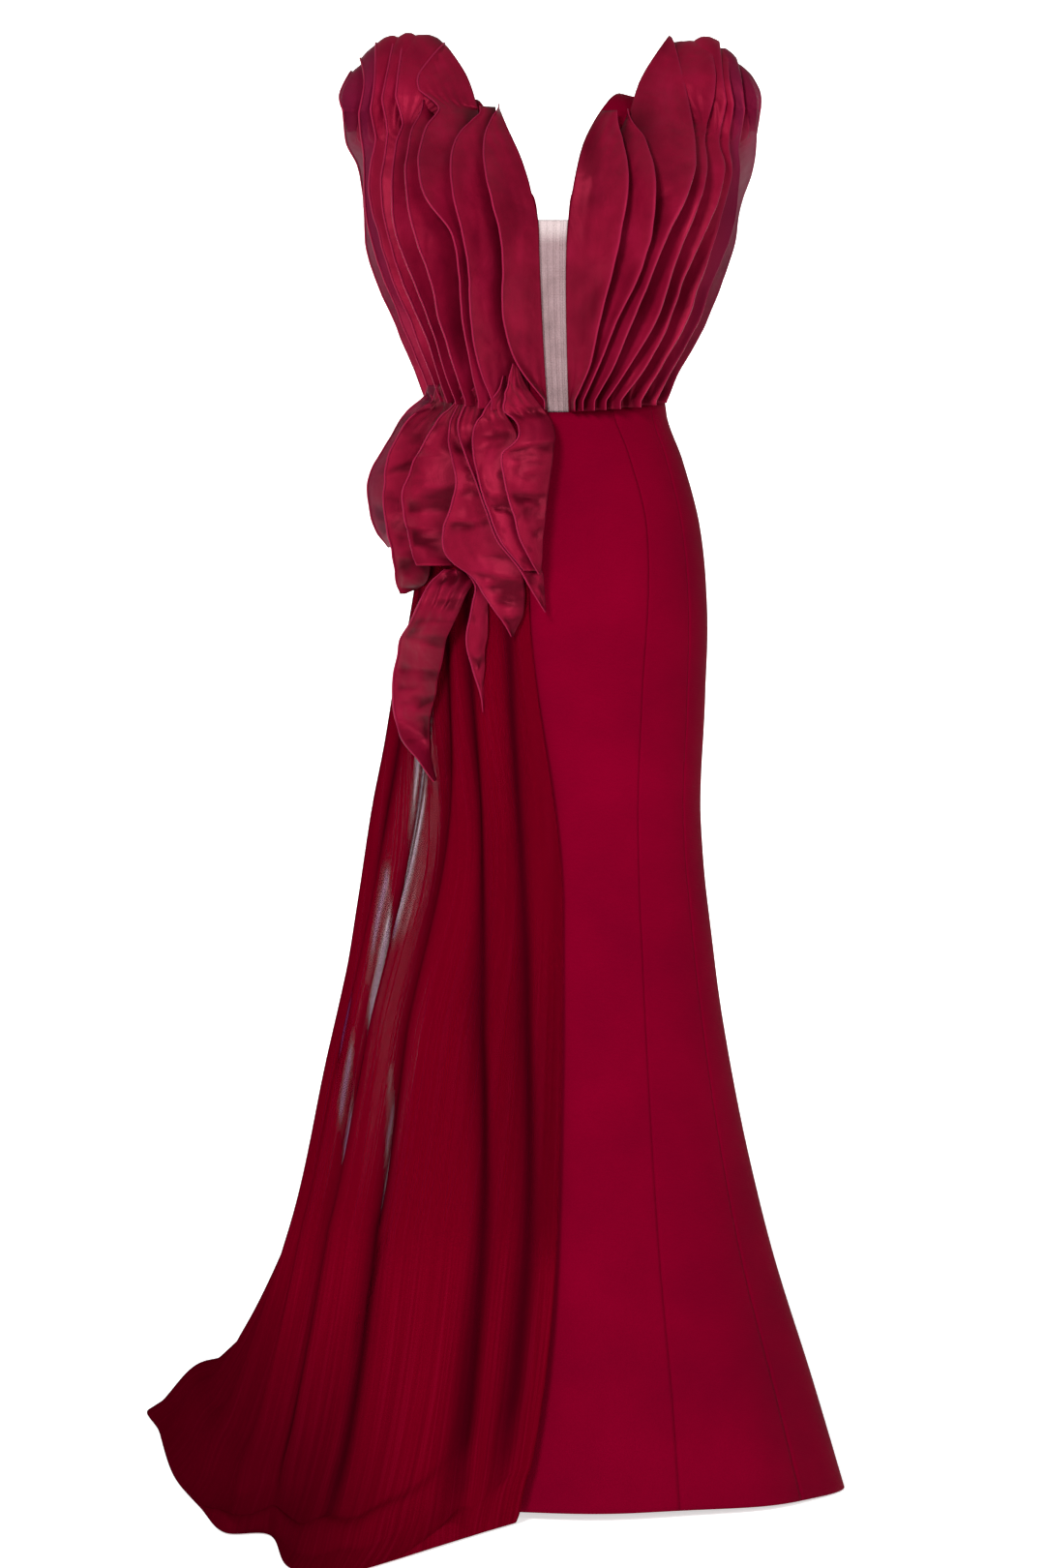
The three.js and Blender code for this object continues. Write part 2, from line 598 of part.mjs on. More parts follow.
for (const row of PETALS) {
  const edgeStops = [
    { t: 0, x: row.tackX, y: PETAL_TACK_Y, z: row.tackZ },
    { t: 1, x: row.midX, y: PETAL_MID_Y, z: row.midZ },
    { t: 2, x: row.crownX, y: 0, z: row.crownZ },
    { t: 3, x: row.midX, y: -PETAL_MID_Y, z: row.midZ },
    { t: 4, x: row.tackX, y: PETAL_BACK_Y, z: row.tackZ - PETAL_BACK_DROP },
  ];
  const ridge = shoulderHeight(row.rootX);
  const neck = NECK_ROOTS[row.name];
  const front = neck
    ? overRidge(neck.frontX, neck.frontZ, -1, NECK_SEAT)
    : overRidge(row.rootX, ridge - PETAL_DROP, -1, PETAL_SEAT);
  const back = neck
    ? overRidge(neck.frontX, neck.frontZ, 1, NECK_SEAT)
    : overRidge(row.rootX, ridge - PETAL_DROP, 1, PETAL_SEAT);
  const near = (face) => {
    if (neck) return { x: neck.midX, y: -face * neck.midY, z: neck.midZ };
    const low = overRidge(row.rootX, ridge - PETAL_NEAR, face, PETAL_SEAT);
    low.z += PETAL_SEAT;
    return low;
  };
  const crown = neck
    ? { x: neck.crownX, y: 0, z: neck.crownZ }
    : { x: row.rootX, y: 0, z: ridge + PETAL_SEAT };
  const rootStops = [
    { t: 0, ...front },
    { t: 1, ...near(-1) },
    { t: 2, ...crown },
    { t: 3, ...near(1) },
    { t: 4, ...back },
  ];
  const along = (stops, v) => new THREE.Vector3(
    spline(stops, "t", 4 * v, "x"),
    spline(stops, "t", 4 * v, "y"),
    spline(stops, "t", 4 * v, "z"),
  );
  const point = (u, v) => {
    const root = along(rootStops, v);
    const edge = along(edgeStops, v);
    const bend = new THREE.Vector3(
      lerp(root.x, edge.x, neck ? NECK_BEND : HOOK_ACROSS),
      lerp(root.y, edge.y, NECK_BEND),
      lerp(root.z, edge.z, neck ? NECK_BEND : HOOK_RISE),
    );
    return bowed(root, bend, edge, u);
  };
  const name = `shoulder_petal_${row.name}`;
  group.add(clothSolid(name, organza, point, FRILL_COLUMNS, PETAL_ROWS, ORGANZA_WALL));
}

// Hip cascade leaves, uppermost first: left and right edge x at each height, the stand
// of both edges over the skirt, and how far a side leaf is moved back.
const CASCADE = [
  {
    name: "cascade_leaf_1", leftStand: 35, rightStand: 28, seat: 1.8, curl: 0, aft: 0,
    rows: [
      { z: 1180, left: -56, right: -14 },
      { z: 1157, left: -48, right: -8 },
      { z: 1125, left: -61, right: -7 },
      { z: 1095, left: -58, right: -10 },
      { z: 1064, left: -51, right: -14 },
      { z: 1033, left: -42, right: -18 },
      { z: 1002, left: -24, right: -20 },
    ],
  },
  {
    name: "cascade_leaf_2", leftStand: 31, rightStand: 24, seat: 1.8, curl: 0, aft: 0,
    rows: [
      { z: 1182, left: -78, right: -45 },
      { z: 1165, left: -85, right: -43 },
      { z: 1136, left: -93, right: -39 },
      { z: 1107, left: -90, right: -36 },
      { z: 1078, left: -81, right: -32 },
      { z: 1049, left: -69, right: -32 },
      { z: 1020, left: -45, right: -36 },
    ],
  },
  {
    name: "cascade_leaf_3", leftStand: 27, rightStand: 16, seat: 1.8, curl: 0, aft: 0,
    rows: [
      { z: 1182, left: -93, right: -69 },
      { z: 1162, left: -104, right: -71 },
      { z: 1128, left: -104, right: -62 },
      { z: 1093, left: -94, right: -50 },
      { z: 1059, left: -77, right: -33 },
      { z: 1025, left: -53, right: -20 },
      { z: 991, left: -33, right: -14 },
      { z: 957, left: -17, right: -12 },
    ],
  },
  {
    name: "cascade_leaf_4", leftStand: 22, rightStand: 14, seat: 1.8, curl: 0, aft: 0,
    rows: [
      { z: 1183, left: -104, right: -84 },
      { z: 1142, left: -121, right: -88 },
      { z: 1100, left: -111, right: -77 },
      { z: 1058, left: -116, right: -67 },
      { z: 1016, left: -110, right: -56 },
      { z: 974, left: -78, right: -48 },
      { z: 932, left: -55, right: -49 },
    ],
  },
  {
    name: "cascade_leaf_5", leftStand: 22, rightStand: 6, seat: 1.8, curl: -5, aft: -24,
    rows: [
      { z: 1183, left: -114, right: -97 },
      { z: 1150, left: -143, right: -102 },
      { z: 1122, left: -159, right: -102 },
      { z: 1093, left: -166, right: -102 },
      { z: 1065, left: -167, right: -103 },
      { z: 1037, left: -163, right: -108 },
      { z: 1008, left: -155, right: -118 },
    ],
  },
  {
    name: "cascade_leaf_6", leftStand: 15, rightStand: 9, seat: 5.5, curl: 0, aft: 0,
    rows: [
      { z: 1073, left: -114, right: -87 },
      { z: 1045, left: -122, right: -84 },
      { z: 1016, left: -121, right: -78 },
      { z: 987, left: -95, right: -70 },
      { z: 959, left: -95, right: -69 },
      { z: 930, left: -99, right: -73 },
      { z: 901, left: -94, right: -77 },
      { z: 872, left: -85, right: -79 },
    ],
  },
  {
    name: "cascade_leaf_7", leftStand: 30, rightStand: 10, seat: 1.8, curl: -6, aft: 2,
    rows: [
      { z: 1184, left: -130, right: -108 },
      { z: 1144, left: -172, right: -122 },
      { z: 1110, left: -186, right: -130 },
      { z: 1077, left: -191, right: -134 },
      { z: 1044, left: -186, right: -136 },
      { z: 1011, left: -181, right: -137 },
      { z: 977, left: -173, right: -139 },
    ],
  },
  {
    name: "cascade_leaf_8", leftStand: 40, rightStand: 14, seat: 1.8, curl: -4, aft: 40,
    rows: [
      { z: 1184, left: -143, right: -130 },
      { z: 1154, left: -175, right: -137 },
      { z: 1122, left: -193, right: -145 },
      { z: 1091, left: -205, right: -151 },
      { z: 1059, left: -202, right: -155 },
      { z: 1027, left: -192, right: -157 },
      { z: 996, left: -184, right: -158 },
    ],
  },
  {
    name: "cascade_leaf_9", leftStand: 42, rightStand: 28, seat: 4.9, curl: -2, aft: -22,
    rows: [
      { z: 1000, left: -128, right: -92 },
      { z: 972, left: -148, right: -103 },
      { z: 944, left: -166, right: -113 },
      { z: 907, left: -180, right: -126 },
      { z: 870, left: -182, right: -131 },
      { z: 832, left: -175, right: -133 },
      { z: 795, left: -156, right: -132 },
      { z: 758, left: -137, right: -131 },
    ],
  },
];
const LEAF_ROWS = 12;
const LEAF_PINCH = 0.25;
const LEAF_TACK_SHARE = 0.35;
for (const leaf of CASCADE) {
  const top = leaf.rows[0].z;
  const foot = leaf.rows[leaf.rows.length - 1].z;
  const height = (v) => lerp(top, foot, v);
  const side = (key, tack, stand, aft) => (v) => {
    const z = height(v);
    const free = 1 - Math.max(0, 1 - v / LEAF_PINCH) ** 2;
    return overFront(spline(leaf.rows, "z", z, key), z, lerp(tack, stand, free), aft * free);
  };
  const tackStand = leaf.seat + LEAF_TACK_SHARE * leaf.leftStand;
  const edge = side("left", tackStand, leaf.leftStand, leaf.aft);
  const root = side("right", leaf.seat, leaf.rightStand, 0);
  const point = (u, v) => frillPoint(root, edge, leaf.curl, u, v);
  group.add(clothSolid(leaf.name, organza, point, FRILL_COLUMNS, LEAF_ROWS, ORGANZA_WALL));
}

// Tulle overlay: falls from under the cascade round the wearer's right side to the
// centre back, and pools on the floor. Side x is its outline, hem points are its rim.
const TULLE_SIDE = [
  { z: 1056, x: -156 },
  { z: 1000, x: -166 },
  { z: 900, x: -176 },
  { z: 826, x: -187 },
  { z: 745, x: -202 },
  { z: 643, x: -215 },
  { z: 567, x: -225 },
  { z: 459, x: -247 },
  { z: 336, x: -272 },
  { z: 240, x: -298 },
];
const TULLE_HEM = [
  { deg: -4, x: -47, y: -207, drop: 1.0 },
  { deg: -14, x: -85, y: -262, drop: 1.2 },
  { deg: -24, x: -122, y: -318, drop: 1.5 },
  { deg: -34, x: -197, y: -430, drop: 2.2 },
  { deg: -44, x: -236, y: -474, drop: 2.6 },
  { deg: -54, x: -278, y: -416, drop: 2.5 },
  { deg: -64, x: -303, y: -268, drop: 1.9 },
  { deg: -74, x: -351, y: -255, drop: 1.9 },
  { deg: -84, x: -384, y: -130, drop: 1.9 },
  { deg: -94, x: -425, y: 44, drop: 1.9 },
  { deg: -106, x: -460, y: 300, drop: 1.9 },
  { deg: -118, x: -480, y: 458, drop: 1.7 },
  { deg: -132, x: -360, y: 460, drop: 1.7 },
  { deg: -148, x: -220, y: 440, drop: 1.6 },
  { deg: -164, x: -90, y: 400, drop: 1.4 },
  { deg: -180, x: 16, y: 330, drop: 1.2 },
];
const TULLE_TOP = 1056;
const TULLE_BREAK = 300;
const TULLE_COLUMNS = 30;
const TULLE_UPPER_ROWS = 9;
const TULLE_LOWER_ROWS = 8;
const TULLE_SEAT = 3.2;
const TULLE_STAND = 5;
const TULLE_FOLD = 4;
const TULLE_FOLDS_A_TURN = 14;
const TULLE_FRONT = -4;
const TULLE_BACK = -180;
const TULLE_EASE = 6;
const TULLE_STAND_RISE = 2.2;
// The fall stands away all round below SPREAD_FOOT, and at the side alone above SPREAD_TOP.
const SPREAD_FOOT = 600;
const SPREAD_TOP = 760;
const SPREAD_SHARE_LOW = 1.5;
const SPREAD_SHARE_HIGH = 9;
// Where it breaks over the floor it leaves the fall at the slope of its last LEAD.
const BREAK_LEAD = 60;
const BREAK_REACH = 0.8;
const BREAK_DROP = 0.2;

function tulleWall(deg, z) {
  const edgeX = spline(SECTIONS, "z", z, "sway");
  const side = edgeX - spline(TULLE_SIDE, "z", z, "x");
  const half = spline(SECTIONS, "z", z, "half");
  const outward = Math.max(TULLE_STAND, side - half);
  const high = THREE.MathUtils.clamp((z - SPREAD_FOOT) / (SPREAD_TOP - SPREAD_FOOT), 0, 1);
  const share = Math.abs(sine(deg)) ** lerp(SPREAD_SHARE_LOW, SPREAD_SHARE_HIGH, high);
  const low = 1 - z / TULLE_TOP;
  const wave = TULLE_FOLD * low * sine(deg * TULLE_FOLDS_A_TURN);
  const near = TULLE_SEAT + TULLE_STAND * Math.min(1, TULLE_STAND_RISE * low) + TULLE_EASE * low;
  const spread = Math.max(0, outward - near) * share * Math.min(1, TULLE_EASE * low);
  const stand = near + spread + wave;
  return figure(deg, z, stand);
}

function tullePoint(u, v) {
  const deg = lerp(TULLE_FRONT, TULLE_BACK, u);
  const split = TULLE_UPPER_ROWS / (TULLE_UPPER_ROWS + TULLE_LOWER_ROWS);
  if (v <= split) return tulleWall(deg, lerp(TULLE_TOP, TULLE_BREAK, v / split));
  const s = (v - split) / (1 - split);
  const start = tulleWall(deg, TULLE_BREAK);
  const before = tulleWall(deg, TULLE_BREAK + BREAK_LEAD);
  const hemX = spline(TULLE_HEM, "deg", deg, "x");
  const hemY = spline(TULLE_HEM, "deg", deg, "y");
  const drop = spline(TULLE_HEM, "deg", deg, "drop");
  const reach = BREAK_REACH * (TULLE_BREAK / BREAK_LEAD);
  const bendX = start.x + (start.x - before.x) * reach;
  const bendY = start.y + (start.y - before.y) * reach;
  const w = (1 - s) ** 2;
  const m = 2 * s * (1 - s);
  const floor = FLOOR_CLEAR + TULLE_WALL;
  return new THREE.Vector3(
    start.x * w + bendX * m + hemX * s * s,
    start.y * w + bendY * m + hemY * s * s,
    floor + (TULLE_BREAK - floor) * (1 - s) ** (drop + BREAK_DROP),
  );
}
const tulleRows = TULLE_UPPER_ROWS + TULLE_LOWER_ROWS;
group.add(clothSolid("tulle_overlay", tulle, tullePoint, TULLE_COLUMNS, tulleRows, TULLE_WALL));

export default group;
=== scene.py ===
"""Ruffled evening dress: crepe gown, organza frills, hip cascade and tulle train."""

import logging
import math
from collections.abc import Callable, Sequence
from dataclasses import dataclass, field
from enum import Enum

import bmesh
import bpy
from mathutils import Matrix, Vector, noise


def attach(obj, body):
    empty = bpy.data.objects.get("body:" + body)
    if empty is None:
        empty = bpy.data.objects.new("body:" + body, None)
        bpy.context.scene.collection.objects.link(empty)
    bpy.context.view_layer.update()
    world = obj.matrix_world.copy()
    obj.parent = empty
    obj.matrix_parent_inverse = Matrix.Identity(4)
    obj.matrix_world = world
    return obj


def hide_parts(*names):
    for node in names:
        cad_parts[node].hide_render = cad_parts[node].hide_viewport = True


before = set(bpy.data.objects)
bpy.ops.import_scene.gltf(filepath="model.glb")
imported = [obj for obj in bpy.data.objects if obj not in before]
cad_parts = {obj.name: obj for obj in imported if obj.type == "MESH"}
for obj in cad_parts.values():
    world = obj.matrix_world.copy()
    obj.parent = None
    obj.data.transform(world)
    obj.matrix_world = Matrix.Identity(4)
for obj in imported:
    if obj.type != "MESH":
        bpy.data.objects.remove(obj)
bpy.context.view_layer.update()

LOG = logging.getLogger("dress")

MM = 0.001
HOLD_HEIGHT = 1500.0
FLOOR_Z = -HOLD_HEIGHT * MM
WAIST_FRONT = 1170.0
WAIST_SIDE_RISE = 14.0
HEM_FRONT_LIFT = 8.0
FLOOR_CLEAR = 1.2
CAP_START = 1400.0
SHOULDER_TOP = 1515.0
SHOULDER_SLOPE = 0.27
NECK_HALF = 60.0
CAP_CLOSE = 0.995
CAP_SPREAD_Z = 1460.0
SIDE_REACH = 0.99
CURL_AT = 0.55
TACK_EASE = 1.4
CUT_ALLOWANCE = 1.02
LENGTH_LINES = 6

PointMaker = Callable[[float, float], Vector]
Share = Callable[[float, float], float]


class Material(Enum):
    """The dress's cloths, by the record's material slot."""

    CREPE = "crepe"
    ORGANZA = "organza"
    TULLE = "tulle"
    NUDE_MESH = "nude_mesh"


class Hold(Enum):
    """How a sheet of cloth is held."""

    HUNG = "hung"
    GATHERED = "gathered"
    STRETCHED = "stretched"


def clamp(value: float, low: float = 0.0, high: float = 1.0) -> float:
    """Value kept between low and high."""
    return max(low, min(high, value))


def lerp(a: float, b: float, t: float) -> float:
    """Value a share t of the way from a to b."""
    return a + (b - a) * t


def smooth(value: float, low: float, high: float) -> float:
    """Smooth step from 0 at low to 1 at high."""
    t = clamp((value - low) / (high - low))
    return t * t * (3.0 - 2.0 * t)


def sine(degrees: float) -> float:
    """Sine of an angle in degrees."""
    return math.sin(math.radians(degrees))


def cosine(degrees: float) -> float:
    """Cosine of an angle in degrees."""
    return math.cos(math.radians(degrees))


def wander(x: float, y: float, z: float) -> float:
    """Soft, seedless noise between about -1 and 1."""
    return noise.noise(Vector((x, y, z)))


def nowhere(u: float, v: float) -> float:
    """Share of nothing, all over a sheet."""
    return 0.0


def painted_rim_highlight(u: float, v: float) -> float:
    """Share of the rim colour, a painted highlight, beside a rolled hem."""
    return 0.4 * smooth(u, 0.95, 1.0)


def hermite(t: float) -> tuple[float, float, float, float]:
    """Weights of start, start slope, end and end slope a share t along a smooth join."""
    t2, t3 = t * t, t * t * t
    return 2 * t3 - 3 * t2 + 1, t3 - 2 * t2 + t, 3 * t2 - 2 * t3, t3 - t2


def link(name: str, data: bpy.types.ID) -> bpy.types.Object:
    """New object in the scene that carries a mesh, lamp or camera.

    Args:
        name: The object's name.
        data: Its mesh, lamp or camera.

    Returns:
        The linked object.
    """
    obj = bpy.data.objects.new(name, data)
    bpy.context.scene.collection.objects.link(obj)
    return obj


class Track:
    """Smooth curve through the rows of a table, read by one column."""

    def __init__(self, stops: Sequence[float], values: Sequence[float]) -> None:
        """Keep the stops in rising order.

        Args:
            stops: Positions of the rows.
            values: Value of the column at each row.
        """
        pairs = sorted(zip(stops, values))
        self.stops = [p for p, _ in pairs]
        self.values = [v for _, v in pairs]

    def __call__(self, at: float) -> float:
        """Value at a position.

        Args:
            at: Position between the first and last stop.

        Returns:
            The value, held flat outside the table.
        """
        s, v = self.stops, self.values
        last = len(s) - 1
        if at <= s[0]:
            return v[0]
        if at >= s[last]:
            return v[last]
        i = 0
        while at > s[i + 1]:
            i += 1

        def slope(j: int) -> float:
            """Slope of the curve at one stop."""
            lo, hi = max(j - 1, 0), min(j + 1, last)
            return (v[hi] - v[lo]) / (s[hi] - s[lo])

        step = s[i + 1] - s[i]
        start, lead, end, tail = hermite((at - s[i]) / step)
        return (
            start * v[i] + lead * step * slope(i) + end * v[i + 1] + tail * step * slope(i + 1)
        )


class Figure:
    """The worn form that carries the cloth, as horizontal sections in millimetres."""

    # z, half width, front depth, back depth, sideways sway
    SECTIONS = (
        (0, 301, 194, 258, 6),
        (120, 262, 172, 234, 9.5),
        (250, 220, 148, 200, 11.5),
        (357, 192.5, 130, 170, 13.5),
        (463, 171, 115, 142, 14.7),
        (569, 155, 103, 120, 14.7),
        (727, 140.6, 95, 103, 13),
        (864, 147.5, 104, 115, 10.5),
        (960, 152, 108, 129, 8),
        (1050, 147.5, 106, 122, 4),
        (1120, 133, 98, 98, 0),
        (1172, 117, 90, 82, -2),
        (1240, 122, 97, 87, -4),
        (1290, 131, 107, 93, -5),
        (1345, 141, 119, 98, -6),
        (1400, 149, 117, 100, -6),
        (1440, 160, 114, 98, -6),
        (1475, 176, 112, 97, -6),
        (1520, 180, 110, 96, -6),
    )
    SIDE_TURN = 0.03

    def __init__(self) -> None:
        """Make one track for each column of the sections."""
        heights, *columns = zip(*self.SECTIONS)
        self.half, self.front, self.back, self.sway = (Track(heights, c) for c in columns)

    def ridge(self, x: float) -> float:
        """Height of the shoulder ridge at a sideways place."""
        return SHOULDER_TOP - SHOULDER_SLOPE * max(0.0, abs(x) - NECK_HALF)

    def waist(self, deg: float) -> float:
        """Height of the waist seam at an angle from the front."""
        return WAIST_FRONT + WAIST_SIDE_RISE * sine(deg) ** 2

    def point(self, deg: float, z: float, stand: float = 0.0) -> Vector:
        """Point of the form, moved out by a stand.

        Args:
            deg: Angle from the front, wearer's left positive.
            z: Height above the floor.
            stand: Distance outwards.

        Returns:
            The point in millimetres above the floor.
        """
        x = self.sway(z) + (self.half(z) + stand) * sine(deg)
        depth = self.front(z) if cosine(deg) > 0 else self.back(z)
        if z > CAP_START:
            rise = min(CAP_CLOSE, (z - CAP_START) / (self.ridge(x) - CAP_START))
            depth *= math.sqrt(1.0 - rise * rise)
        return Vector((x, -(depth + stand) * cosine(deg), z))

    def over_front(self, x: float, z: float, stand: float, aft: float = 0.0) -> Vector:
        """Point over the front of the form at a given x.

        Args:
            x: Sideways place.
            z: Height above the floor.
            stand: Distance outwards.
            aft: How far the point is moved back.

        Returns:
            The point in millimetres above the floor.
        """
        s = (x - self.sway(z)) / (self.half(z) + stand)
        turn = math.sqrt(max(self.SIDE_TURN, 1.0 - s * s))
        return Vector((x, aft - (self.front(z) + stand) * turn, z))

    def over_ridge(self, x: float, z: float, face: int, stand: float) -> Vector:
        """Point of the shoulder cap on its front (-1) or back (1) face.

        Args:
            x: Sideways place.
            z: Height above the floor.
            face: -1 for the front face, 1 for the back one.
            stand: Distance outwards.

        Returns:
            The point in millimetres above the floor.
        """
        s = clamp((x - self.sway(z)) / self.half(z), -SIDE_REACH, SIDE_REACH)
        deg = math.degrees(math.asin(s))
        return self.point(deg if face < 0 else 180.0 - deg, z, stand)


FIGURE = Figure()


@dataclass(frozen=True)
class Roll:
    """Rolled hem along a sheet's last column."""

    radius: float = 0.9
    columns: int = 5
    turn_deg: float = 300.0
    end_share: float = 0.35
    end_ease: float = 4.0


@dataclass
class ClothSheet:
    """One layer of cloth: a point for each share across and along, with a wall."""

    name: str
    material: Material
    point: PointMaker
    columns: int
    rows: int
    wall: float = 0.9
    roll: Roll | None = None
    hold: Hold = Hold.HUNG
    rests_on: tuple[str, ...] = ()
    replaces: tuple[str, ...] = ()
    soften: tuple[float, int] | None = None
    # Shares of colour over the sheet: the rim share, which is a painted highlight on organza hems and
    # painted shade in tulle troughs; how open the cloth is; and painted shade in its hollows.
    rim: Share = nowhere
    sheer: Share = nowhere
    painted_shade: Share = nowhere

    def _rows_of_points(self) -> list[list[Vector]]:
        """Points of the middle surface, with the rolled hem's columns added."""
        grid = []
        for j in range(self.rows + 1):
            v = j / self.rows
            grid.append([self.point(i / self.columns, v) for i in range(self.columns + 1)])
        self._soften(grid)
        roll = self.roll
        if roll is None:
            return grid
        out = []
        for j, line in enumerate(grid):
            edge, near = line[-1], line[-2]
            before, after = grid[max(j - 1, 0)][-1], grid[min(j + 1, self.rows)][-1]
            across = (edge - near).normalized()
            normal = across.cross(after - before).normalized()
            ease = min(1.0, roll.end_share + roll.end_ease * min(j, self.rows - j) / self.rows)
            r = roll.radius * ease
            angles = (roll.turn_deg * k / roll.columns for k in range(1, roll.columns + 1))
            out.append(line + [
                edge + across * (r * sine(a)) + normal * (r * (1 - cosine(a))) for a in angles
            ])
        return out

    def _soften(self, grid: list[list[Vector]]) -> None:
        """Ease the rows on both sides of a tack, where two lengths of one frill meet.

        Args:
            grid: Rows of the sheet's points, changed in place.
        """
        if self.soften is None:
            return
        middle, reach = round(self.soften[0] * self.rows), self.soften[1]
        start, end = middle - reach, middle + reach
        for i in range(len(grid[0])):
            a, b = grid[start][i], grid[end][i]
            lead = (a - grid[start - 1][i]) * (TACK_EASE * reach)
            tail = (grid[end + 1][i] - b) * (TACK_EASE * reach)
            for j in range(start + 1, end):
                at_a, at_lead, at_b, at_tail = hermite((j - start) / (end - start))
                grid[j][i] = a * at_a + lead * at_lead + b * at_b + tail * at_tail

    def build(self, finishes: "Finishes") -> bpy.types.Object:
        """Args:
            finishes: The dress's materials.

        Returns:
            The finished object.
        """
        points = self._rows_of_points()
        across = len(points[0]) - 1
        bm = bmesh.new()
        bmesh.ops.create_grid(bm, x_segments=across, y_segments=self.rows, size=1.0, calc_uvs=False)
        bm.verts.ensure_lookup_table()
        rim, sheer, painted_shade = (bm.verts.layers.float.new(n) for n in ("rim", "sheer", "painted_shade"))
        along_m, across_m = self._lengths(points)
        places = {}
        for vert in bm.verts:
            i = round((vert.co.x + 1.0) / 2.0 * across)
            j = round((vert.co.y + 1.0) / 2.0 * self.rows)
            places[vert.index] = (i, j)
            u, v = min(1.0, i / self.columns), j / self.rows
            # The rolled columns take the full rim colour: a painted highlight along the hem.
            vert[rim] = 1.0 if i > self.columns else self.rim(u, v)
            vert[sheer] = 0.0 if i > self.columns else self.sheer(u, v)
            vert[painted_shade] = self.painted_shade(u, v)
            p = points[j][i]
            vert.co = Vector((p.x, p.y, p.z - HOLD_HEIGHT)) * MM
        weave = bm.loops.layers.uv.new("weave")
        for face in bm.faces:
            for loop in face.loops:
                i, j = places[loop.vert.index]
                loop[weave].uv = (across_m * i / across, along_m * j / self.rows)
            face.smooth = True
        area = sum(face.calc_area() for face in bm.faces)
        mesh = bpy.data.meshes.new(self.name)
        bm.to_mesh(mesh)
        bm.free()
        mesh.materials.append(finishes.get(self.material))
        piece = link(self.name, mesh)
        solid = piece.modifiers.new("wall", "SOLIDIFY")
        solid.thickness = self.wall * MM
        solid.offset = 0.0
        solid.use_even_offset = False
        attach(piece, "root")
        if self.replaces:
            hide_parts(*self.replaces)
        width = max(across_m, area / along_m * CUT_ALLOWANCE)
        list(self.rests_on)
        LOG.info("%s: %.0f x %.0f mm", self.name, width / MM, along_m / MM)
        return piece

    def _lengths(self, points: list[list[Vector]]) -> tuple[float, float]:
        """Longest length along and across the sheet, in metres.

        Args:
            points: Rows of the sheet's points.

        Returns:
            Length along and across.
        """
        along = 0.0
        for i in range(0, len(points[0]), max(1, len(points[0]) // LENGTH_LINES)):
            run = sum((points[j + 1][i] - points[j][i]).length for j in range(len(points) - 1))
            along = max(along, run)
        across = max(
            sum((line[i + 1] - line[i]).length for i in range(len(line) - 1)) for line in points
        )
        return along * MM, across * MM


def frill_point(root: Vector, edge: Vector, curl: float, u: float) -> Vector:
    """Point of a frill between its sewn root and its free edge.

    Args:
        root: Point of the sewn line.
        edge: Point of the free edge.
        curl: How far the middle is drawn in, in millimetres.
        u: Share of the way from root to edge.

    Returns:
        The point on the curl.
    """
    bend = root.lerp(edge, CURL_AT)
    away = Vector((bend.x, bend.y, 0.0)).normalized()
    bend -= away * curl
    return root * (1 - u) ** 2 + bend * (2 * u * (1 - u)) + edge * (u * u)


def hex_linear(code: str) -> tuple[float, float, float, float]:
    """Linear colour of an sRGB hex value such as "82001F".

    Args:
        code: Six hex digits.

    Returns:
        Red, green, blue and alpha.
    """
    out = []
    for k in (0, 2, 4):
        c = int(code[k : k + 2], 16) / 255.0
        out.append(c / 12.92 if c <= 0.04045 else ((c + 0.055) / 1.055) ** 2.4)
    return (out[0], out[1], out[2], 1.0)


def add_node(
    tree: bpy.types.NodeTree,
    kind: str,
    settings: dict[str, object] | None = None,
    links: dict[str, bpy.types.NodeSocket] | None = None,
) -> bpy.types.Node:
    """Add one node with its settings and links.

    Args:
        tree: The material's node tree.
        kind: The node's type name.
        settings: Values by property, or by input name or number.
        links: Sockets that feed the node's inputs, by input name or number.

    Returns:
        The new node.
    """
    node = tree.nodes.new(kind)
    for key, value in (settings or {}).items():
        if key.startswith("in:"):
            name = key[3:]
            socket = node.inputs[int(name)] if name.isdigit() else node.inputs[name]
            socket.default_value = value
        else:
            setattr(node, key, value)
    for key, source in (links or {}).items():
        socket = node.inputs[int(key)] if key.isdigit() else node.inputs[key]
        tree.links.new(source, socket)
    return node


